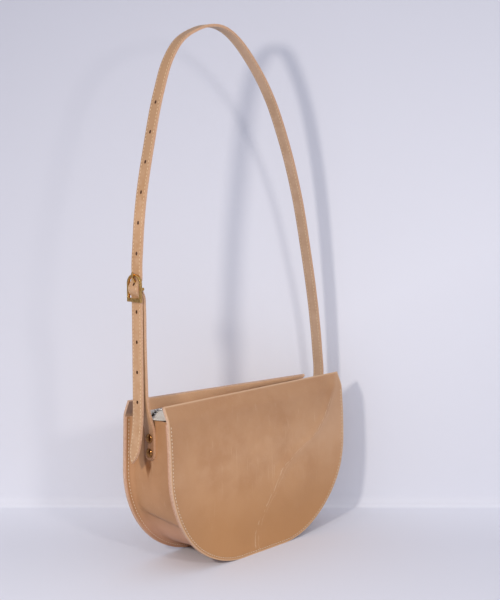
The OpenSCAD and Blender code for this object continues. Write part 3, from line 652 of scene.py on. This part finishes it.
def makeGusset():
    bm = bmesh.new()
    deep = outerY(0) - flangeMiddle
    profile = [(0, -deep), (wallMiddle, -deep), (wallMiddle, deep), (0, deep)]
    verts = [bm.verts.new((-halfWidth + d, y, gussetTop)) for d, y in profile]
    geom = verts + [bm.edges.new((a, b)) for a, b in zip(verts, verts[1:])]
    side = gussetTop - bag["cornerRadius"]
    geom = sweep(bm, geom, gussetShape["sideSteps"], move=(0, 0, -side))
    geom = sweep(bm, geom, gussetShape["cornerSteps"], centre=(-flatHalf, 0, bag["cornerRadius"]), angle=90)
    geom = sweep(bm, geom, gussetShape["baseSteps"], move=(2 * flatHalf, 0, 0))
    geom = sweep(bm, geom, gussetShape["cornerSteps"], centre=(flatHalf, 0, bag["cornerRadius"]), angle=90)
    sweep(bm, geom, gussetShape["sideSteps"], move=(0, 0, side))
    bmesh.ops.remove_doubles(bm, verts=bm.verts[:], dist=0.01)
    bmesh.ops.recalc_face_normals(bm, faces=bm.faces[:])
    for v in bm.verts:
        v.co.y *= (outerY(v.co.z, v.co.y) - flangeMiddle) / deep
    roundEdges(bm, sharpEdges(bm, 60), gussetShape["foldRadius"], gussetShape["foldSteps"])
    # the edges that run from panel to panel are cut finely enough to bend
    cross = [e for e in bm.edges if abs(e.verts[0].co.y - e.verts[1].co.y) > bag["topDepth"] / 2]
    bmesh.ops.subdivide_edges(bm, edges=cross, cuts=gussetShape["depthCuts"], use_grid_fill=True)
    for v in bm.verts:
        x, y, z = v.co
        inwards = Vector((-x + math.copysign(min(abs(x), flatHalf), x), 0, max(bag["cornerRadius"] - z, 0)))
        if edgeDistance(x, z) > wallMiddle - 1 and inwards.length > 0:
            v.co -= inwards.normalized() * gussetBend(x, y, z)
    # the grain side looks out of the bag
    bm.normal_update()
    leftWall = [f for f in bm.faces if abs(f.normal.y) < 0.3 and f.calc_center_median().x < -flatHalf]
    turnFaces(bm, Vector((-1, 0, 0)), leftWall)
    bm.normal_update()
    for v, normal in [(v, v.normal.copy()) for v in bm.verts]:
        v.co += normal * bag["gussetThickness"] / 2
    grain = set(bm.faces)
    thicken(bm, bag["gussetThickness"])
    for face in bm.faces:
        meetsGrain = any(other in grain for e in face.edges for other in e.link_faces)
        face.material_index = 0 if face in grain else 1 if meetsGrain else 2
    roundEdges(bm, rimEdges(bm), gussetShape["edgeRound"])
    finishPiece("gussetStrip", bm, "bag", [gussetGrain, gussetCut, panelFlesh], ["gusset"])


makeGusset()
print("gusset made")

# The strap's curves are drawn as shares across and up: of its width at the tail, of the clearance at the
# buckle, and of the bag's half width and the crown's height above.
strap = {
    "width": 13, "thickness": 2.6, "y": -1.5, "x": 150.1, "tailZ": 118, "buckleZ": 293, "crownZ": 555,
    "tailCurl": [(0.35, 0), (0.09, 2), (0, 4)], "straightShare": 1.615,
    "climb": [(0.991, 0.082), (0.978, 0.177), (0.95, 0.299), (0.89, 0.473), (0.784, 0.718),
              (0.703, 0.842), (0.59, 0.929), (0.466, 0.972), (0.336, 0.997), (0.224, 1)],
    "fall": [(-0.14, 0.99), (-0.03, 0.967), (0.103, 0.925), (0.331, 0.826), (0.51, 0.704),
             (0.681, 0.542), (0.803, 0.373), (0.917, 0.177), (0.961, 0.066), (0.981, -0.02)],
    "rivetTopZ": 141, "rivetZ": 126, "footZ": 118.5, "capRadius": 4.8, "tipShare": 1.3,
    "holePitch": 30, "holesBelow": 4, "holesAbove": 6, "hole": (3.6, 2.6), "usedHole": (6.2, 2.6),
    "overBarX": -155.102, "clearBelow": 9, "clearAbove": 8.742, "hookShare": 0.64,
    "under": [(0, 1.2), (0.1, 0.87), (0.61, 0.49)], "above": [(0.61, 0.5), (0.1, 0.89), (0, 1.22)],
    "edgeRound": 0.35, "tailSwing": 4.5, "swingReach": 70, "fineTip": 20, "bendBelow": 16, "bendAbove": 18,
}
# how finely the strips are cut along their length, in mm, and where their rows lie across
cuts = {
    "rows": (-1, -0.31, 0.31, 1), "plain": 4, "bend": 0.9, "end": 0.4, "endGrowth": 0.3, "closest": 0.15,
    "besideHole": 1, "clearOfHole": 1.6, "holeInset": 0.4, "holeHalf": 2, "endClear": 4,
}
strapEndX = wallX + bag["plyGap"] + strap["thickness"] / 2
straightZ = strap["buckleZ"] + strap["straightShare"] * strap["width"]
rise = strap["crownZ"] - bag["height"]
outBy = strap["overBarX"] + strap["x"]
strapTrack = Track(smoothLine(
    [(-strap["x"] - a * strap["width"], strap["tailZ"] + b * strap["width"]) for a, b in strap["tailCurl"]]
    + [(outBy * a - strap["x"], strap["buckleZ"] - strap["clearBelow"] * b) for a, b in strap["under"]]
    + [(strap["overBarX"], strap["buckleZ"])]
    + [(outBy * a - strap["x"], strap["buckleZ"] + strap["clearAbove"] * b) for a, b in strap["above"]]
    + [(-strap["x"], straightZ)]
    + [(-strap["x"] * a, straightZ + b * (strap["crownZ"] - straightZ)) for a, b in strap["climb"]]
    + [(halfWidth * a, bag["height"] + b * rise) for a, b in strap["fall"]]
    + [(strapEndX + strap["thickness"] / 2, gussetTop - strap["thickness"]),
       (strapEndX, strap["rivetTopZ"] + strap["capRadius"]), (strapEndX, strap["footZ"])]))
barReach = next(s for p, s in zip(strapTrack.line, strapTrack.reach) if p.y >= strap["buckleZ"] - 1e-6)
usedReach = barReach + strap["hookShare"] * strap["clearAbove"]
holes = [(usedReach + i * strap["holePitch"], strap["usedHole"] if i == 0 else strap["hole"])
         for i in range(-strap["holesBelow"], strap["holesAbove"] + 1)]
tipLength = strap["width"] * strap["tipShare"]


def roundedEnd(left):  # half the strap's width near an end that is cut to a half circle
    half = strap["width"] / 2
    return math.sqrt(max(half ** 2 - (half - left) ** 2, 0.01)) if left < half else half


def strapHalf(s):  # half the strap's width at a distance from the tail's pointed tip
    half = strap["width"] / 2
    if s < tipLength:
        arc = (tipLength ** 2 + half ** 2) / (2 * half)
        return max(math.sqrt(max(arc ** 2 - (tipLength - s) ** 2, 0)) - (arc - half), 0.05)
    return roundedEnd(strapTrack.length - s)


def strapY(s):  # the loose tail swings back a little
    return strap["y"] + strap["tailSwing"] * max(1 - s / strap["swingReach"], 0) ** 2


def ribbon(stations, halfAt, openings):
    # a flat strip with oval holes: x along, y across
    bm = bmesh.new()
    last, top = len(stations) - 1, len(cuts["rows"]) - 1
    bmesh.ops.create_grid(bm, x_segments=last, y_segments=top, size=1)
    for v in bm.verts:
        i, k = round((v.co.x + 1) / 2 * last), round((v.co.y + 1) / 2 * top)
        v.co = (stations[i], cuts["rows"][k] * halfAt(stations[i]), 0)
    for centre, (length, width) in openings:
        cell = min(bm.faces, key=lambda f: (f.calc_center_median() - Vector((centre, 0, 0))).length)
        bmesh.ops.inset_individual(bm, faces=[cell], thickness=cuts["holeInset"], depth=0)
        bmesh.ops.subdivide_edges(bm, edges=cell.edges[:], cuts=3)
        middle = cell.calc_center_median()
        spanX = max(abs(v.co.x - middle.x) for v in cell.verts)
        spanY = max(abs(v.co.y - middle.y) for v in cell.verts)
        straight = (length - width) / 2
        for v in cell.verts:
            angle = math.atan2((v.co.y - middle.y) / spanY, (v.co.x - middle.x) / spanX)
            along = math.cos(angle)
            offMiddle = abs(along) > 0.05
            v.co.x = centre + math.copysign(straight, along) * offMiddle + width / 2 * along
            v.co.y = width / 2 * math.sin(angle)
        bmesh.ops.delete(bm, geom=[cell], context="FACES_ONLY")
    return bm


def stationsFor(track, openings, fineStart, bends=()):  # cuts are closer at the ends, in bends and at holes
    marks = {0.0, track.length}
    s = 0.0
    while s < track.length:
        marks.add(s)
        left = min(s, track.length - s)
        if left < fineStart:
            s += cuts["end"] + left * cuts["endGrowth"]
        else:
            s += cuts["bend"] if any(low < s < high for low, high in bends) else cuts["plain"]
    for centre, (length, _) in openings:
        clear, beside = length / 2 + cuts["clearOfHole"], length / 2 + cuts["besideHole"]
        marks = {m for m in marks if abs(m - centre) > clear} | {centre - beside, centre + beside}
    ordered = sorted(marks)
    return [m for m, following in zip(ordered, ordered[1:] + [1e9]) if following - m > cuts["closest"]]


def makeStrip(name, node, bm, low, high, track, y, rounding, materials):
    # the flat strip gets its thickness and rounded edges, then follows its line
    turnFaces(bm, Vector((0, 0, 1)))
    bmesh.ops.translate(bm, vec=(0, 0, high), verts=bm.verts[:])
    thicken(bm, high - low)
    for face in bm.faces:
        face.material_index = 1 if abs(face.normal.z) < 0.5 else 0 if face.normal.z > 0 else 2
        middle = face.calc_center_median()
        offEnds = cuts["endClear"] < middle.x < track.length - cuts["endClear"]
        if face.material_index == 1 and abs(middle.y) < cuts["holeHalf"] and offEnds:
            face.material_index = 3  # the wall of a hole
    roundEdges(bm, rimEdges(bm), rounding)
    layAlong(bm, track, y)
    finishPiece(name, bm, "bag", materials, [node])


barBend = (barReach - strap["bendBelow"], barReach + strap["bendAbove"])
strapStations = stationsFor(strapTrack, holes, strap["fineTip"], [barBend])
halfPly, halfStrap = bag["plyGap"] / 2, strap["thickness"] / 2
makeStrip("strapOuter", "shoulder_strap", ribbon(strapStations, strapHalf, holes), halfPly, halfStrap,
          strapTrack, strapY, strap["edgeRound"], [strapGrain, strapCut, strapFleshInShade, shadedHoleWall])
makeStrip("strapLining", "strap_lining", ribbon(strapStations, strapHalf, holes), -halfStrap, -halfPly,
          strapTrack, strapY, strap["edgeRound"], [strapFleshInShade, strapCut, liningGrain, shadedHoleWall])

# The buckle strap hangs from the bar: its middle line, then both legs beside it and the fold round the bar.
buckleStrap = {
    "thickness": 1.4, "barX": -151.102, "barRadius": 1.1, "pinGap": 0.05, "neckShare": 5, "slot": (11, 2.6),
    "neck": [(1, 0), (0.62, 0.41), (0.18, 0.85)], "hangX": -146.0,
    "hang": [(1, 0.134), (0.937, 0.391), (0.78, 0.693), (0.638, 0.849), (0.29, 0.95), (0, 1)],
    "zipZ": 161.4, "passX": -138.55, "foldSteps": 16, "lineSteps": 8, "fineEnd": 8, "bend": 25,
    "edgeRound": 0.3,
}
foldOut = buckleStrap["barRadius"] + buckleStrap["pinGap"] + buckleStrap["thickness"] / 2
legGap = buckleStrap["thickness"] / 2 + bag["plyGap"] / 2
legEndX = -(wallX + bag["plyGap"] * 1.5 + buckleStrap["thickness"])
hangLine = smoothLine(
    [(buckleStrap["hangX"] + (buckleStrap["barX"] - buckleStrap["hangX"]) * a,
      strap["buckleZ"] - strap["clearBelow"] * b) for a, b in buckleStrap["neck"]]
    + [(buckleStrap["passX"] + (buckleStrap["hangX"] - buckleStrap["passX"]) * a,
        strap["buckleZ"] - (strap["buckleZ"] - buckleStrap["zipZ"]) * b) for a, b in buckleStrap["hang"]]
    + [(legEndX, strap["rivetTopZ"] + strap["capRadius"]), (legEndX, strap["footZ"])],
    buckleStrap["lineSteps"])


def legLine(side):
    track = Track(hangLine)
    line = []
    for p, way in zip(track.line, track.ways):
        t = max(0, 1 - (strap["buckleZ"] - p.y) / (buckleStrap["neckShare"] * foldOut))
        spread = legGap + (foldOut - legGap) * t * t
        line.append(p + Vector((-way.y, way.x)) * spread * side)
    return line


foldTurn = math.atan2(hangLine[1].x - hangLine[0].x, hangLine[0].y - hangLine[1].y)
foldSteps = buckleStrap["foldSteps"]
foldLine = [Vector((buckleStrap["barX"], strap["buckleZ"])) + foldOut * Vector((math.cos(a), math.sin(a)))
            for a in (math.pi * k / foldSteps + foldTurn for k in range(1, foldSteps))]
buckleTrack = Track(legLine(1)[::-1] + foldLine + legLine(-1))
foldReach = buckleTrack.reach[len(hangLine) + len(foldLine) // 2]


def buckleHalf(s):
    return roundedEnd(min(s, buckleTrack.length - s))


slotPlace = [(foldReach, buckleStrap["slot"])]
foldBend = (foldReach - buckleStrap["bend"], foldReach + buckleStrap["bend"])
buckleStations = stationsFor(buckleTrack, slotPlace, buckleStrap["fineEnd"], [foldBend])
makeStrip("buckleStrap", "buckle_strap", ribbon(buckleStations, buckleHalf, slotPlace),
          -buckleStrap["thickness"] / 2, buckleStrap["thickness"] / 2, buckleTrack, lambda s: strap["y"],
          buckleStrap["edgeRound"], [strapFleshInShade, strapCut, buckleStrapGrain, shadedHoleWall])
print("straps made")

stitch = {
    "pitch": 3.7, "length": 2.8, "width": 0.75, "height": 0.5, "segments": 6, "rings": 4,
    "panelInset": 3.0, "panelThick": 1.2, "belowTop": 2, "standsOut": 0.08, "standsIn": 0.25,
    "strapInset": 1.7, "strapStart": 3.2, "strapEnd": 8, "standsOff": 0.06, "narrowest": 0.5,
}

bm = bmesh.new()
bmesh.ops.create_uvsphere(bm, u_segments=stitch["segments"], v_segments=stitch["rings"], radius=0.5)
bmesh.ops.scale(bm, vec=(stitch["length"], stitch["width"], stitch["height"]), verts=bm.verts[:])
oneStitch = bpy.data.meshes.new("oneStitch")
bm.to_mesh(oneStitch)
bm.free()


def addStitch(bm, place, along, up, thick=1.0):
    across = up.cross(along).normalized()
    up = along.cross(across).normalized()
    turn = Matrix((along, across, up)).transposed().to_4x4()
    before = len(bm.verts)
    bm.from_mesh(oneStitch)
    bm.verts.ensure_lookup_table()
    matrix = Matrix.Translation(place) @ turn @ Matrix.Diagonal((1, thick, thick, 1))
    bmesh.ops.transform(bm, matrix=matrix, verts=bm.verts[before:])


def seamPlaces(inset, top):  # places and directions along the D-shaped seam, from the left end to the right
    radius = bag["cornerRadius"]
    side, arc, base = top - radius, math.pi / 2 * (radius - inset), 2 * flatHalf
    total = 2 * side + 2 * arc + base
    count = round(total / stitch["pitch"])
    for k in range(count):
        s = (k + 0.5) * total / count
        mirrored = s > total / 2
        s = total - s if mirrored else s
        if s < side:
            x, z, wayX, wayZ = inset - halfWidth, top - s, 0, -1
        elif s < side + arc:
            a = (s - side) / (radius - inset)
            x, z = -flatHalf - (radius - inset) * math.cos(a), radius - (radius - inset) * math.sin(a)
            wayX, wayZ = math.sin(a), -math.cos(a)
        else:
            x, z, wayX, wayZ = -flatHalf + s - side - arc, inset, 1, 0
        yield (-x if mirrored else x), z, wayX, (-wayZ if mirrored else wayZ)


def sewPanel(name, side):  # one row on the panel's face and one on the gusset's edge behind it
    bm = bmesh.new()
    seam = bag["panelThickness"] + bag["plyGap"] + bag["gussetThickness"]
    for x, z, wayX, wayZ in seamPlaces(stitch["panelInset"], gussetTop - stitch["belowTop"]):
        slope = (outerY(z + 1, side) - outerY(z - 1, side)) / 2 * side
        along = Vector((wayX, wayZ * slope, wayZ)).normalized()
        for y in (panelY(x, z, side) + stitch["standsOut"], outerY(z, side) - seam - stitch["standsIn"]):
            addStitch(bm, Vector((x, side * y, z)), along, Vector((0, side, 0)), stitch["panelThick"])
    finishPiece(name, bm, "bag", [paleThread])


def sewStrap():  # two rows on each side of the strap
    bm = bmesh.new()
    s = stitch["strapStart"]
    while s < strapTrack.length - stitch["strapEnd"]:
        half = strapHalf(s) - stitch["strapInset"]
        if half > stitch["narrowest"]:
            slope = (strapHalf(s + 0.5) - strapHalf(s - 0.5)) if s < tipLength else 0
            place, way, normal = strapTrack.at(s)
            for face in (-1, 1):
                off = place + normal * face * (strap["thickness"] / 2 + stitch["standsOff"])
                for edge in (-1, 1):
                    along = Vector((way.x, edge * slope, way.y)).normalized()
                    addStitch(bm, Vector((off.x, strapY(s) + edge * half, off.y)), along,
                              Vector((normal.x, 0, normal.y)))
        s += stitch["pitch"]
    finishPiece("strapThread", bm, "bag", [creamThread])


sewPanel("frontSeamThread", -1)
sewPanel("backSeamThread", 1)
sewStrap()
print("stitches made")

# Castings keep the solids' shapes, with their edges rounded by so many mm in so many steps.
casting = {
    "buckleFrame": (0.55, 3), "buckleProng": (0.35, 2), "zipStops": (0.2, 1), "zipSlider": (0.25, 2),
    "zipPull": (0.25, 2), "sharpest": 28, "merge": 0.002, "flat": 2,
}


def fromCad(name, node, body, material):
    rounding, steps = casting[name]
    bm = bmesh.new()
    bm.from_mesh(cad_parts[node].data)
    bmesh.ops.scale(bm, vec=(1 / mm, 1 / mm, 1 / mm), verts=bm.verts[:])
    bmesh.ops.remove_doubles(bm, verts=bm.verts[:], dist=casting["merge"])
    flat = math.radians(casting["flat"])
    bmesh.ops.dissolve_limit(bm, angle_limit=flat, verts=bm.verts[:], edges=bm.edges[:])
    roundEdges(bm, sharpEdges(bm, casting["sharpest"]), rounding, steps)
    bmesh.ops.triangulate(bm, faces=[f for f in bm.faces if len(f.verts) > 4])
    finishPiece(name, bm, body, [material], [node])


fromCad("buckleFrame", "buckle_frame", "buckle", brass)
fromCad("buckleProng", "buckle_prong", "prong", brass)

# Rivets are turned: a profile is (radius, height), from the middle of the underside to that of the top, and
# a rim is (in from the radius, height).
rivet = {
    "radius": 4.8, "capRim": [(0.3, 0), (0, 0.12), (0, 0.38)],
    "domeFoot": 0.4, "domeTop": 2.0, "domeIn": 0.05, "domeSteps": 9, "turnSteps": 40,
    "discRim": [(0.3, 0), (0, 0.3), (0, 0.75), (0.3, 1.0)], "dimple": [(2.2, 1.0), (1.9, 0.7), (0, 0.7)],
}
domeAngles = [math.pi / 2 * k / rivet["domeSteps"] for k in range(1, rivet["domeSteps"])]
domeHeight = rivet["domeTop"] - rivet["domeFoot"]
domeProfile = [(0, 0)] + [(rivet["radius"] - inset, height) for inset, height in rivet["capRim"]]
domeProfile += [(rivet["radius"] * math.cos(a) - rivet["domeIn"] * math.sin(a),
                 rivet["domeFoot"] + domeHeight * math.sin(a)) for a in domeAngles]
domeProfile += [(0, rivet["domeTop"])]
discProfile = [(0, 0)] + [(rivet["radius"] - inset, height) for inset, height in rivet["discRim"]]
discProfile += rivet["dimple"]


def makeRivets(name, node, x, outwards, profile):
    bm = bmesh.new()
    for z in (strap["rivetZ"], strap["rivetTopZ"]):
        verts = [bm.verts.new((x + outwards * h, strap["y"] + r, z)) for r, h in profile]
        edges = [bm.edges.new(pair) for pair in zip(verts, verts[1:])]
        bmesh.ops.spin(bm, geom=verts + edges, cent=(x, strap["y"], z), axis=(1, 0, 0), angle=2 * math.pi,
                       steps=rivet["turnSteps"], use_merge=True)
    bmesh.ops.remove_doubles(bm, verts=bm.verts[:], dist=0.005)
    bmesh.ops.recalc_face_normals(bm, faces=bm.faces[:])
    finishPiece(name, bm, "bag", [agedBrass], [node])


stackLeft = 2 * buckleStrap["thickness"] + 3 * bag["plyGap"]
stackRight = strap["thickness"] + 2 * bag["plyGap"]
insideX = wallX - bag["gussetThickness"] - bag["plyGap"]
makeRivets("rivetCapsLeft", "rivet_caps_left", -(wallX + stackLeft), -1, domeProfile)
makeRivets("rivetCapsRight", "rivet_caps_right", wallX + stackRight, 1, domeProfile)
makeRivets("rivetBasesLeft", "rivet_bases_left", -insideX, 1, discProfile)
makeRivets("rivetBasesRight", "rivet_bases_right", insideX, -1, discProfile)
print("hardware made")

zipLook = {
    "z": 161.1, "tape": 0.6, "left": -136.5, "right": 130.5, "seamDepth": 9, "chain": 2.1, "seamGap": 3.25,
    "acrossSteps": 10, "seamSteps": 4, "alongStep": 2.5, "waves": 0.25, "waveSize": 18, "cutBack": 12,
    # the closed end stands up over the end of the gusset, as a piece of its own left of the split with its
    # own mesh; the anchors' heights and how flat it would be pressed when the slider comes are listed, not
    # used here
    "hump": 6.4, "humpStart": -134, "humpFull": -122, "humpFall": -113, "humpEnd": -92, "humpReach": 3.2,
    "humpShape": 0.8, "split": -88, "settles": (1, 9), "overlap": 0.2, "tapeAnchor": 0.2, "teethAnchor": 0.9,
    "pressed": 0.03,
    # a tooth's size along, across and up, and its place off the middle
    "pitch": 2.8, "firstTooth": -127.55, "count": 85, "tooth": (1.45, 3.9, 2.1), "toothY": 1.15,
    "toothRound": 0.3,
    # so many teeth at the left end stand apart, for the slider's post at the end of its travel
    "apart": 4, "apartWidth": 2.5, "apartY": 1.85,
}


def humpAt(x):  # how far the closed end of the zip stands up
    rising = smooth(zipLook["humpStart"], zipLook["humpFull"], x)
    return zipLook["hump"] * rising * smooth(zipLook["humpEnd"], zipLook["humpFall"], x)


def tapeZ(x, y):
    reach = outerY(lipZ, y) - zipLook["humpReach"]
    return zipLook["z"] + humpAt(x) * max(1 - abs(y) / reach, 0) ** zipLook["humpShape"]


def makeTape(name, side, start, end, sewn, node):
    # across: from the chain to the panel, then down its inner face over the last rows where it is sewn in
    bm = bmesh.new()
    flat, down = zipLook["acrossSteps"], zipLook["seamSteps"] if sewn else 0
    columns = max(int((end - start) / zipLook["alongStep"]), 2)
    bmesh.ops.create_grid(bm, x_segments=columns, y_segments=flat + down, size=0.5)
    reach = outerY(lipZ, side) - zipLook["seamGap"]
    for v in bm.verts:
        row = round((v.co.y + 0.5) * (flat + down))
        # the closed end is cut back at its outer corner
        first = start if sewn else start + zipLook["cutBack"] * (row / flat) ** 2
        x = first + (v.co.x + 0.5) * (end - first)
        if row <= flat:
            y = zipLook["chain"] + (reach - zipLook["chain"]) * row / flat
            loose = smooth(*zipLook["settles"], abs(x - zipLook["split"])) * (row not in (0, flat))
            z = tapeZ(x, y) + zipLook["waves"] * softNoise(x, y, 0, zipLook["waveSize"]) * loose
        else:
            z = zipLook["z"] - zipLook["seamDepth"] * (row - flat) / down
            y = outerY(z, side) - bag["panelThickness"] - bag["plyGap"] - zipLook["tape"] / 2
        v.co = (x, side * y, z)
    turnFaces(bm, Vector((0, 0, 1)))
    bmesh.ops.translate(bm, vec=(0, 0, zipLook["tape"] / 2), verts=bm.verts[:])
    thicken(bm, zipLook["tape"])
    return finishPiece(name, bm, "bag", [tape], [node])


def toothRow(name, side, first, last, node):
    bm = bmesh.new()
    long, wide, high = zipLook["tooth"]
    for i in range(first, last):
        x = zipLook["firstTooth"] + (i + (0.5 if side > 0 else 0)) * zipLook["pitch"]
        apart = i < zipLook["apart"]
        y = (zipLook["apartY"] if apart else zipLook["toothY"]) * side
        slope = (humpAt(x + 1) - humpAt(x - 1)) / 2
        turn = Matrix.Rotation(-math.atan(slope), 4, "Y")
        size = Matrix.Diagonal((long, zipLook["apartWidth"] if apart else wide, high, 1))
        matrix = Matrix.Translation((x, y, zipLook["z"] + humpAt(x))) @ turn @ size
        made = bmesh.ops.create_cube(bm, size=1, matrix=matrix)
        edges = list({e for v in made["verts"] for e in v.link_edges})
        bmesh.ops.bevel(bm, geom=edges, offset=zipLook["toothRound"], offset_type="OFFSET", segments=1,
                        profile=0.5, affect="EDGES", material=-1)
    return finishPiece(name, bm, "bag", [nickel], [node])


endTeeth = int((zipLook["split"] - zipLook["firstTooth"]) / zipLook["pitch"])
flattened = []
for side, word in ((-1, "Front"), (1, "Back")):
    tapeNode, teethNode = f"zip_tape_{word.lower()}", f"zip_teeth_{word.lower()}"
    makeTape(f"zipTape{word}", side, zipLook["split"], zipLook["right"], True, tapeNode)
    endX = zipLook["split"] + zipLook["overlap"]
    tapeEnd = makeTape(f"zipTapeEnd{word}", side, zipLook["left"], endX, False, tapeNode)
    toothRow(f"zipTeeth{word}", side, endTeeth, zipLook["count"], teethNode)
    teethEnd = toothRow(f"zipTeethEnd{word}", side, 0, endTeeth, teethNode)
    flattened += [(tapeEnd, zipLook["tapeAnchor"]), (teethEnd, zipLook["teethAnchor"])]
for piece, above in flattened:
    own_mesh(piece)
fromCad("zipStops", "zip_stops", "bag", nickel)
fromCad("zipSlider", "zip_slider", "slider", nickel)
fromCad("zipPull", "zip_pull", "pull", nickel)
print("zip made")

# The studio is in metres. A lamp is given by how far it stands in front of the bag towards the camera, how
# far to the right of the view and how high, then by its width, its watts and its colour.
studio = {
    "camera": (-0.9529, -0.8594, 0.4088), "aim": (0.7446, 0.6588, -0.108), "lens": 72,
    "floorStart": -4, "wallAt": 0.150, "bendRadius": 0.012, "bendSteps": 16, "wallHeight": 3, "width": 8,
    "paper": "#DADCE5", "paperInShade": "#B2B4C0", "farUp": 1.186, "farLeft": 0.6, "farSpan": (0.2, 1.0),
    "paperLitNearWall": "#E5E7EF", "nearWall": (-0.02, 0.150), "floorEnds": (0.0, 0.004),
    "air": "#F4F5FF", "ambient": 0.8, "lampAim": (0, 0, 0.25),
    "lamps": {"keyLight": (1.02, -0.40, 0.572, 0.09, 5.6, "#FFF6EA"),
              "fillLight": (1.04, 0.40, 0.563, 0.12, 2.4, "#FFF8F0")},
}
forward = Vector((studio["aim"][0], studio["aim"][1], 0)).normalized()
rightward = forward.cross(Vector((0, 0, 1)))


def seamlessPaper(name):  # matt background paper: it shades softly and shows no gloss, and painted shade darkens it towards the top left
    material, tree, place = newMaterial(name)
    # painted shade, growing towards the top left
    upLeft = Vector((0, 0, studio["farUp"])) - rightward * studio["farLeft"]
    away = addNode(tree, "VectorMath", (place, upLeft), operation="DOT_PRODUCT")
    away = addNode(tree, "MapRange", (away, *studio["farSpan"]))
    near, far = paint(studio["paper"]), paint(studio["paperInShade"])
    colour = addNode(tree, "Mix", {share: away, under: near, over: far}, **colours)
    # painted light: the floor grows lighter towards the wall, as a wide sweep would light it
    depth = addNode(tree, "VectorMath", (place, forward), operation="DOT_PRODUCT")
    height = addNode(tree, "SeparateXYZ", [place]).outputs["Z"]
    onFloor = addNode(tree, "MapRange", (height, *studio["floorEnds"], 1, 0), **soft)
    colour = dye(tree, colour, studio["paperLitNearWall"], depth, studio["nearWall"], (0, onFloor))
    finishMaterial(tree, {"Base Color": colour, "Roughness": 0.95, "Specular IOR Level": 0.1})
    return material


def makeBackdrop():  # floor and wall in one sweep
    bm = bmesh.new()
    corner = forward * studio["wallAt"]
    line = [forward * studio["floorStart"], corner, corner + Vector((0, 0, studio["wallHeight"]))]
    verts = [bm.verts.new(p - rightward * studio["width"] / 2) for p in line]
    edges = [bm.edges.new(pair) for pair in zip(verts, verts[1:])]
    sweep(bm, verts + edges, 1, move=rightward * studio["width"], axis=(0, 0, 1))
    roundEdges(bm, sharpEdges(bm, 60), studio["bendRadius"], studio["bendSteps"])
    bmesh.ops.recalc_face_normals(bm, faces=bm.faces[:])
    backdrop = linkObject("paperSweep", bm)
    backdrop.data.materials.append(seamlessPaper("seamlessPaper"))


def addLamp(name, back, right, height, size, watts, colour):
    light = bpy.data.lights.new(name, "AREA")
    light.shape = "DISK"
    light.size = size
    light.energy = watts
    light.color = paint(colour)[:3]
    lamp = bpy.data.objects.new(name, light)
    lamp.location = -forward * back + rightward * right + Vector((0, 0, height))
    lamp.rotation_mode = "QUATERNION"
    lamp.rotation_quaternion = (Vector(studio["lampAim"]) - lamp.location).to_track_quat("-Z", "Y")
    bpy.context.scene.collection.objects.link(lamp)


def addCamera():
    lens = bpy.data.cameras.new("photoCamera")
    lens.sensor_fit = "VERTICAL"
    lens.sensor_height = 36
    lens.lens = studio["lens"]
    lens.clip_start = 0.05
    lens.clip_end = 50
    camera = bpy.data.objects.new("photoCamera", lens)
    camera.location = studio["camera"]
    camera.rotation_mode = "QUATERNION"
    camera.rotation_quaternion = Vector(studio["aim"]).to_track_quat("-Z", "Y")
    bpy.context.scene.collection.objects.link(camera)
    bpy.context.scene.camera = camera


makeBackdrop()
for name, lamp in studio["lamps"].items():
    addLamp(name, *lamp)
world = bpy.data.worlds.new("studioAir")
world.use_nodes = True
world.node_tree.nodes["Background"].inputs["Color"].default_value = paint(studio["air"])
world.node_tree.nodes["Background"].inputs["Strength"].default_value = studio["ambient"]
bpy.context.scene.world = world
addCamera()
bpy.context.scene.view_settings.view_transform = "Standard"
print("studio made")
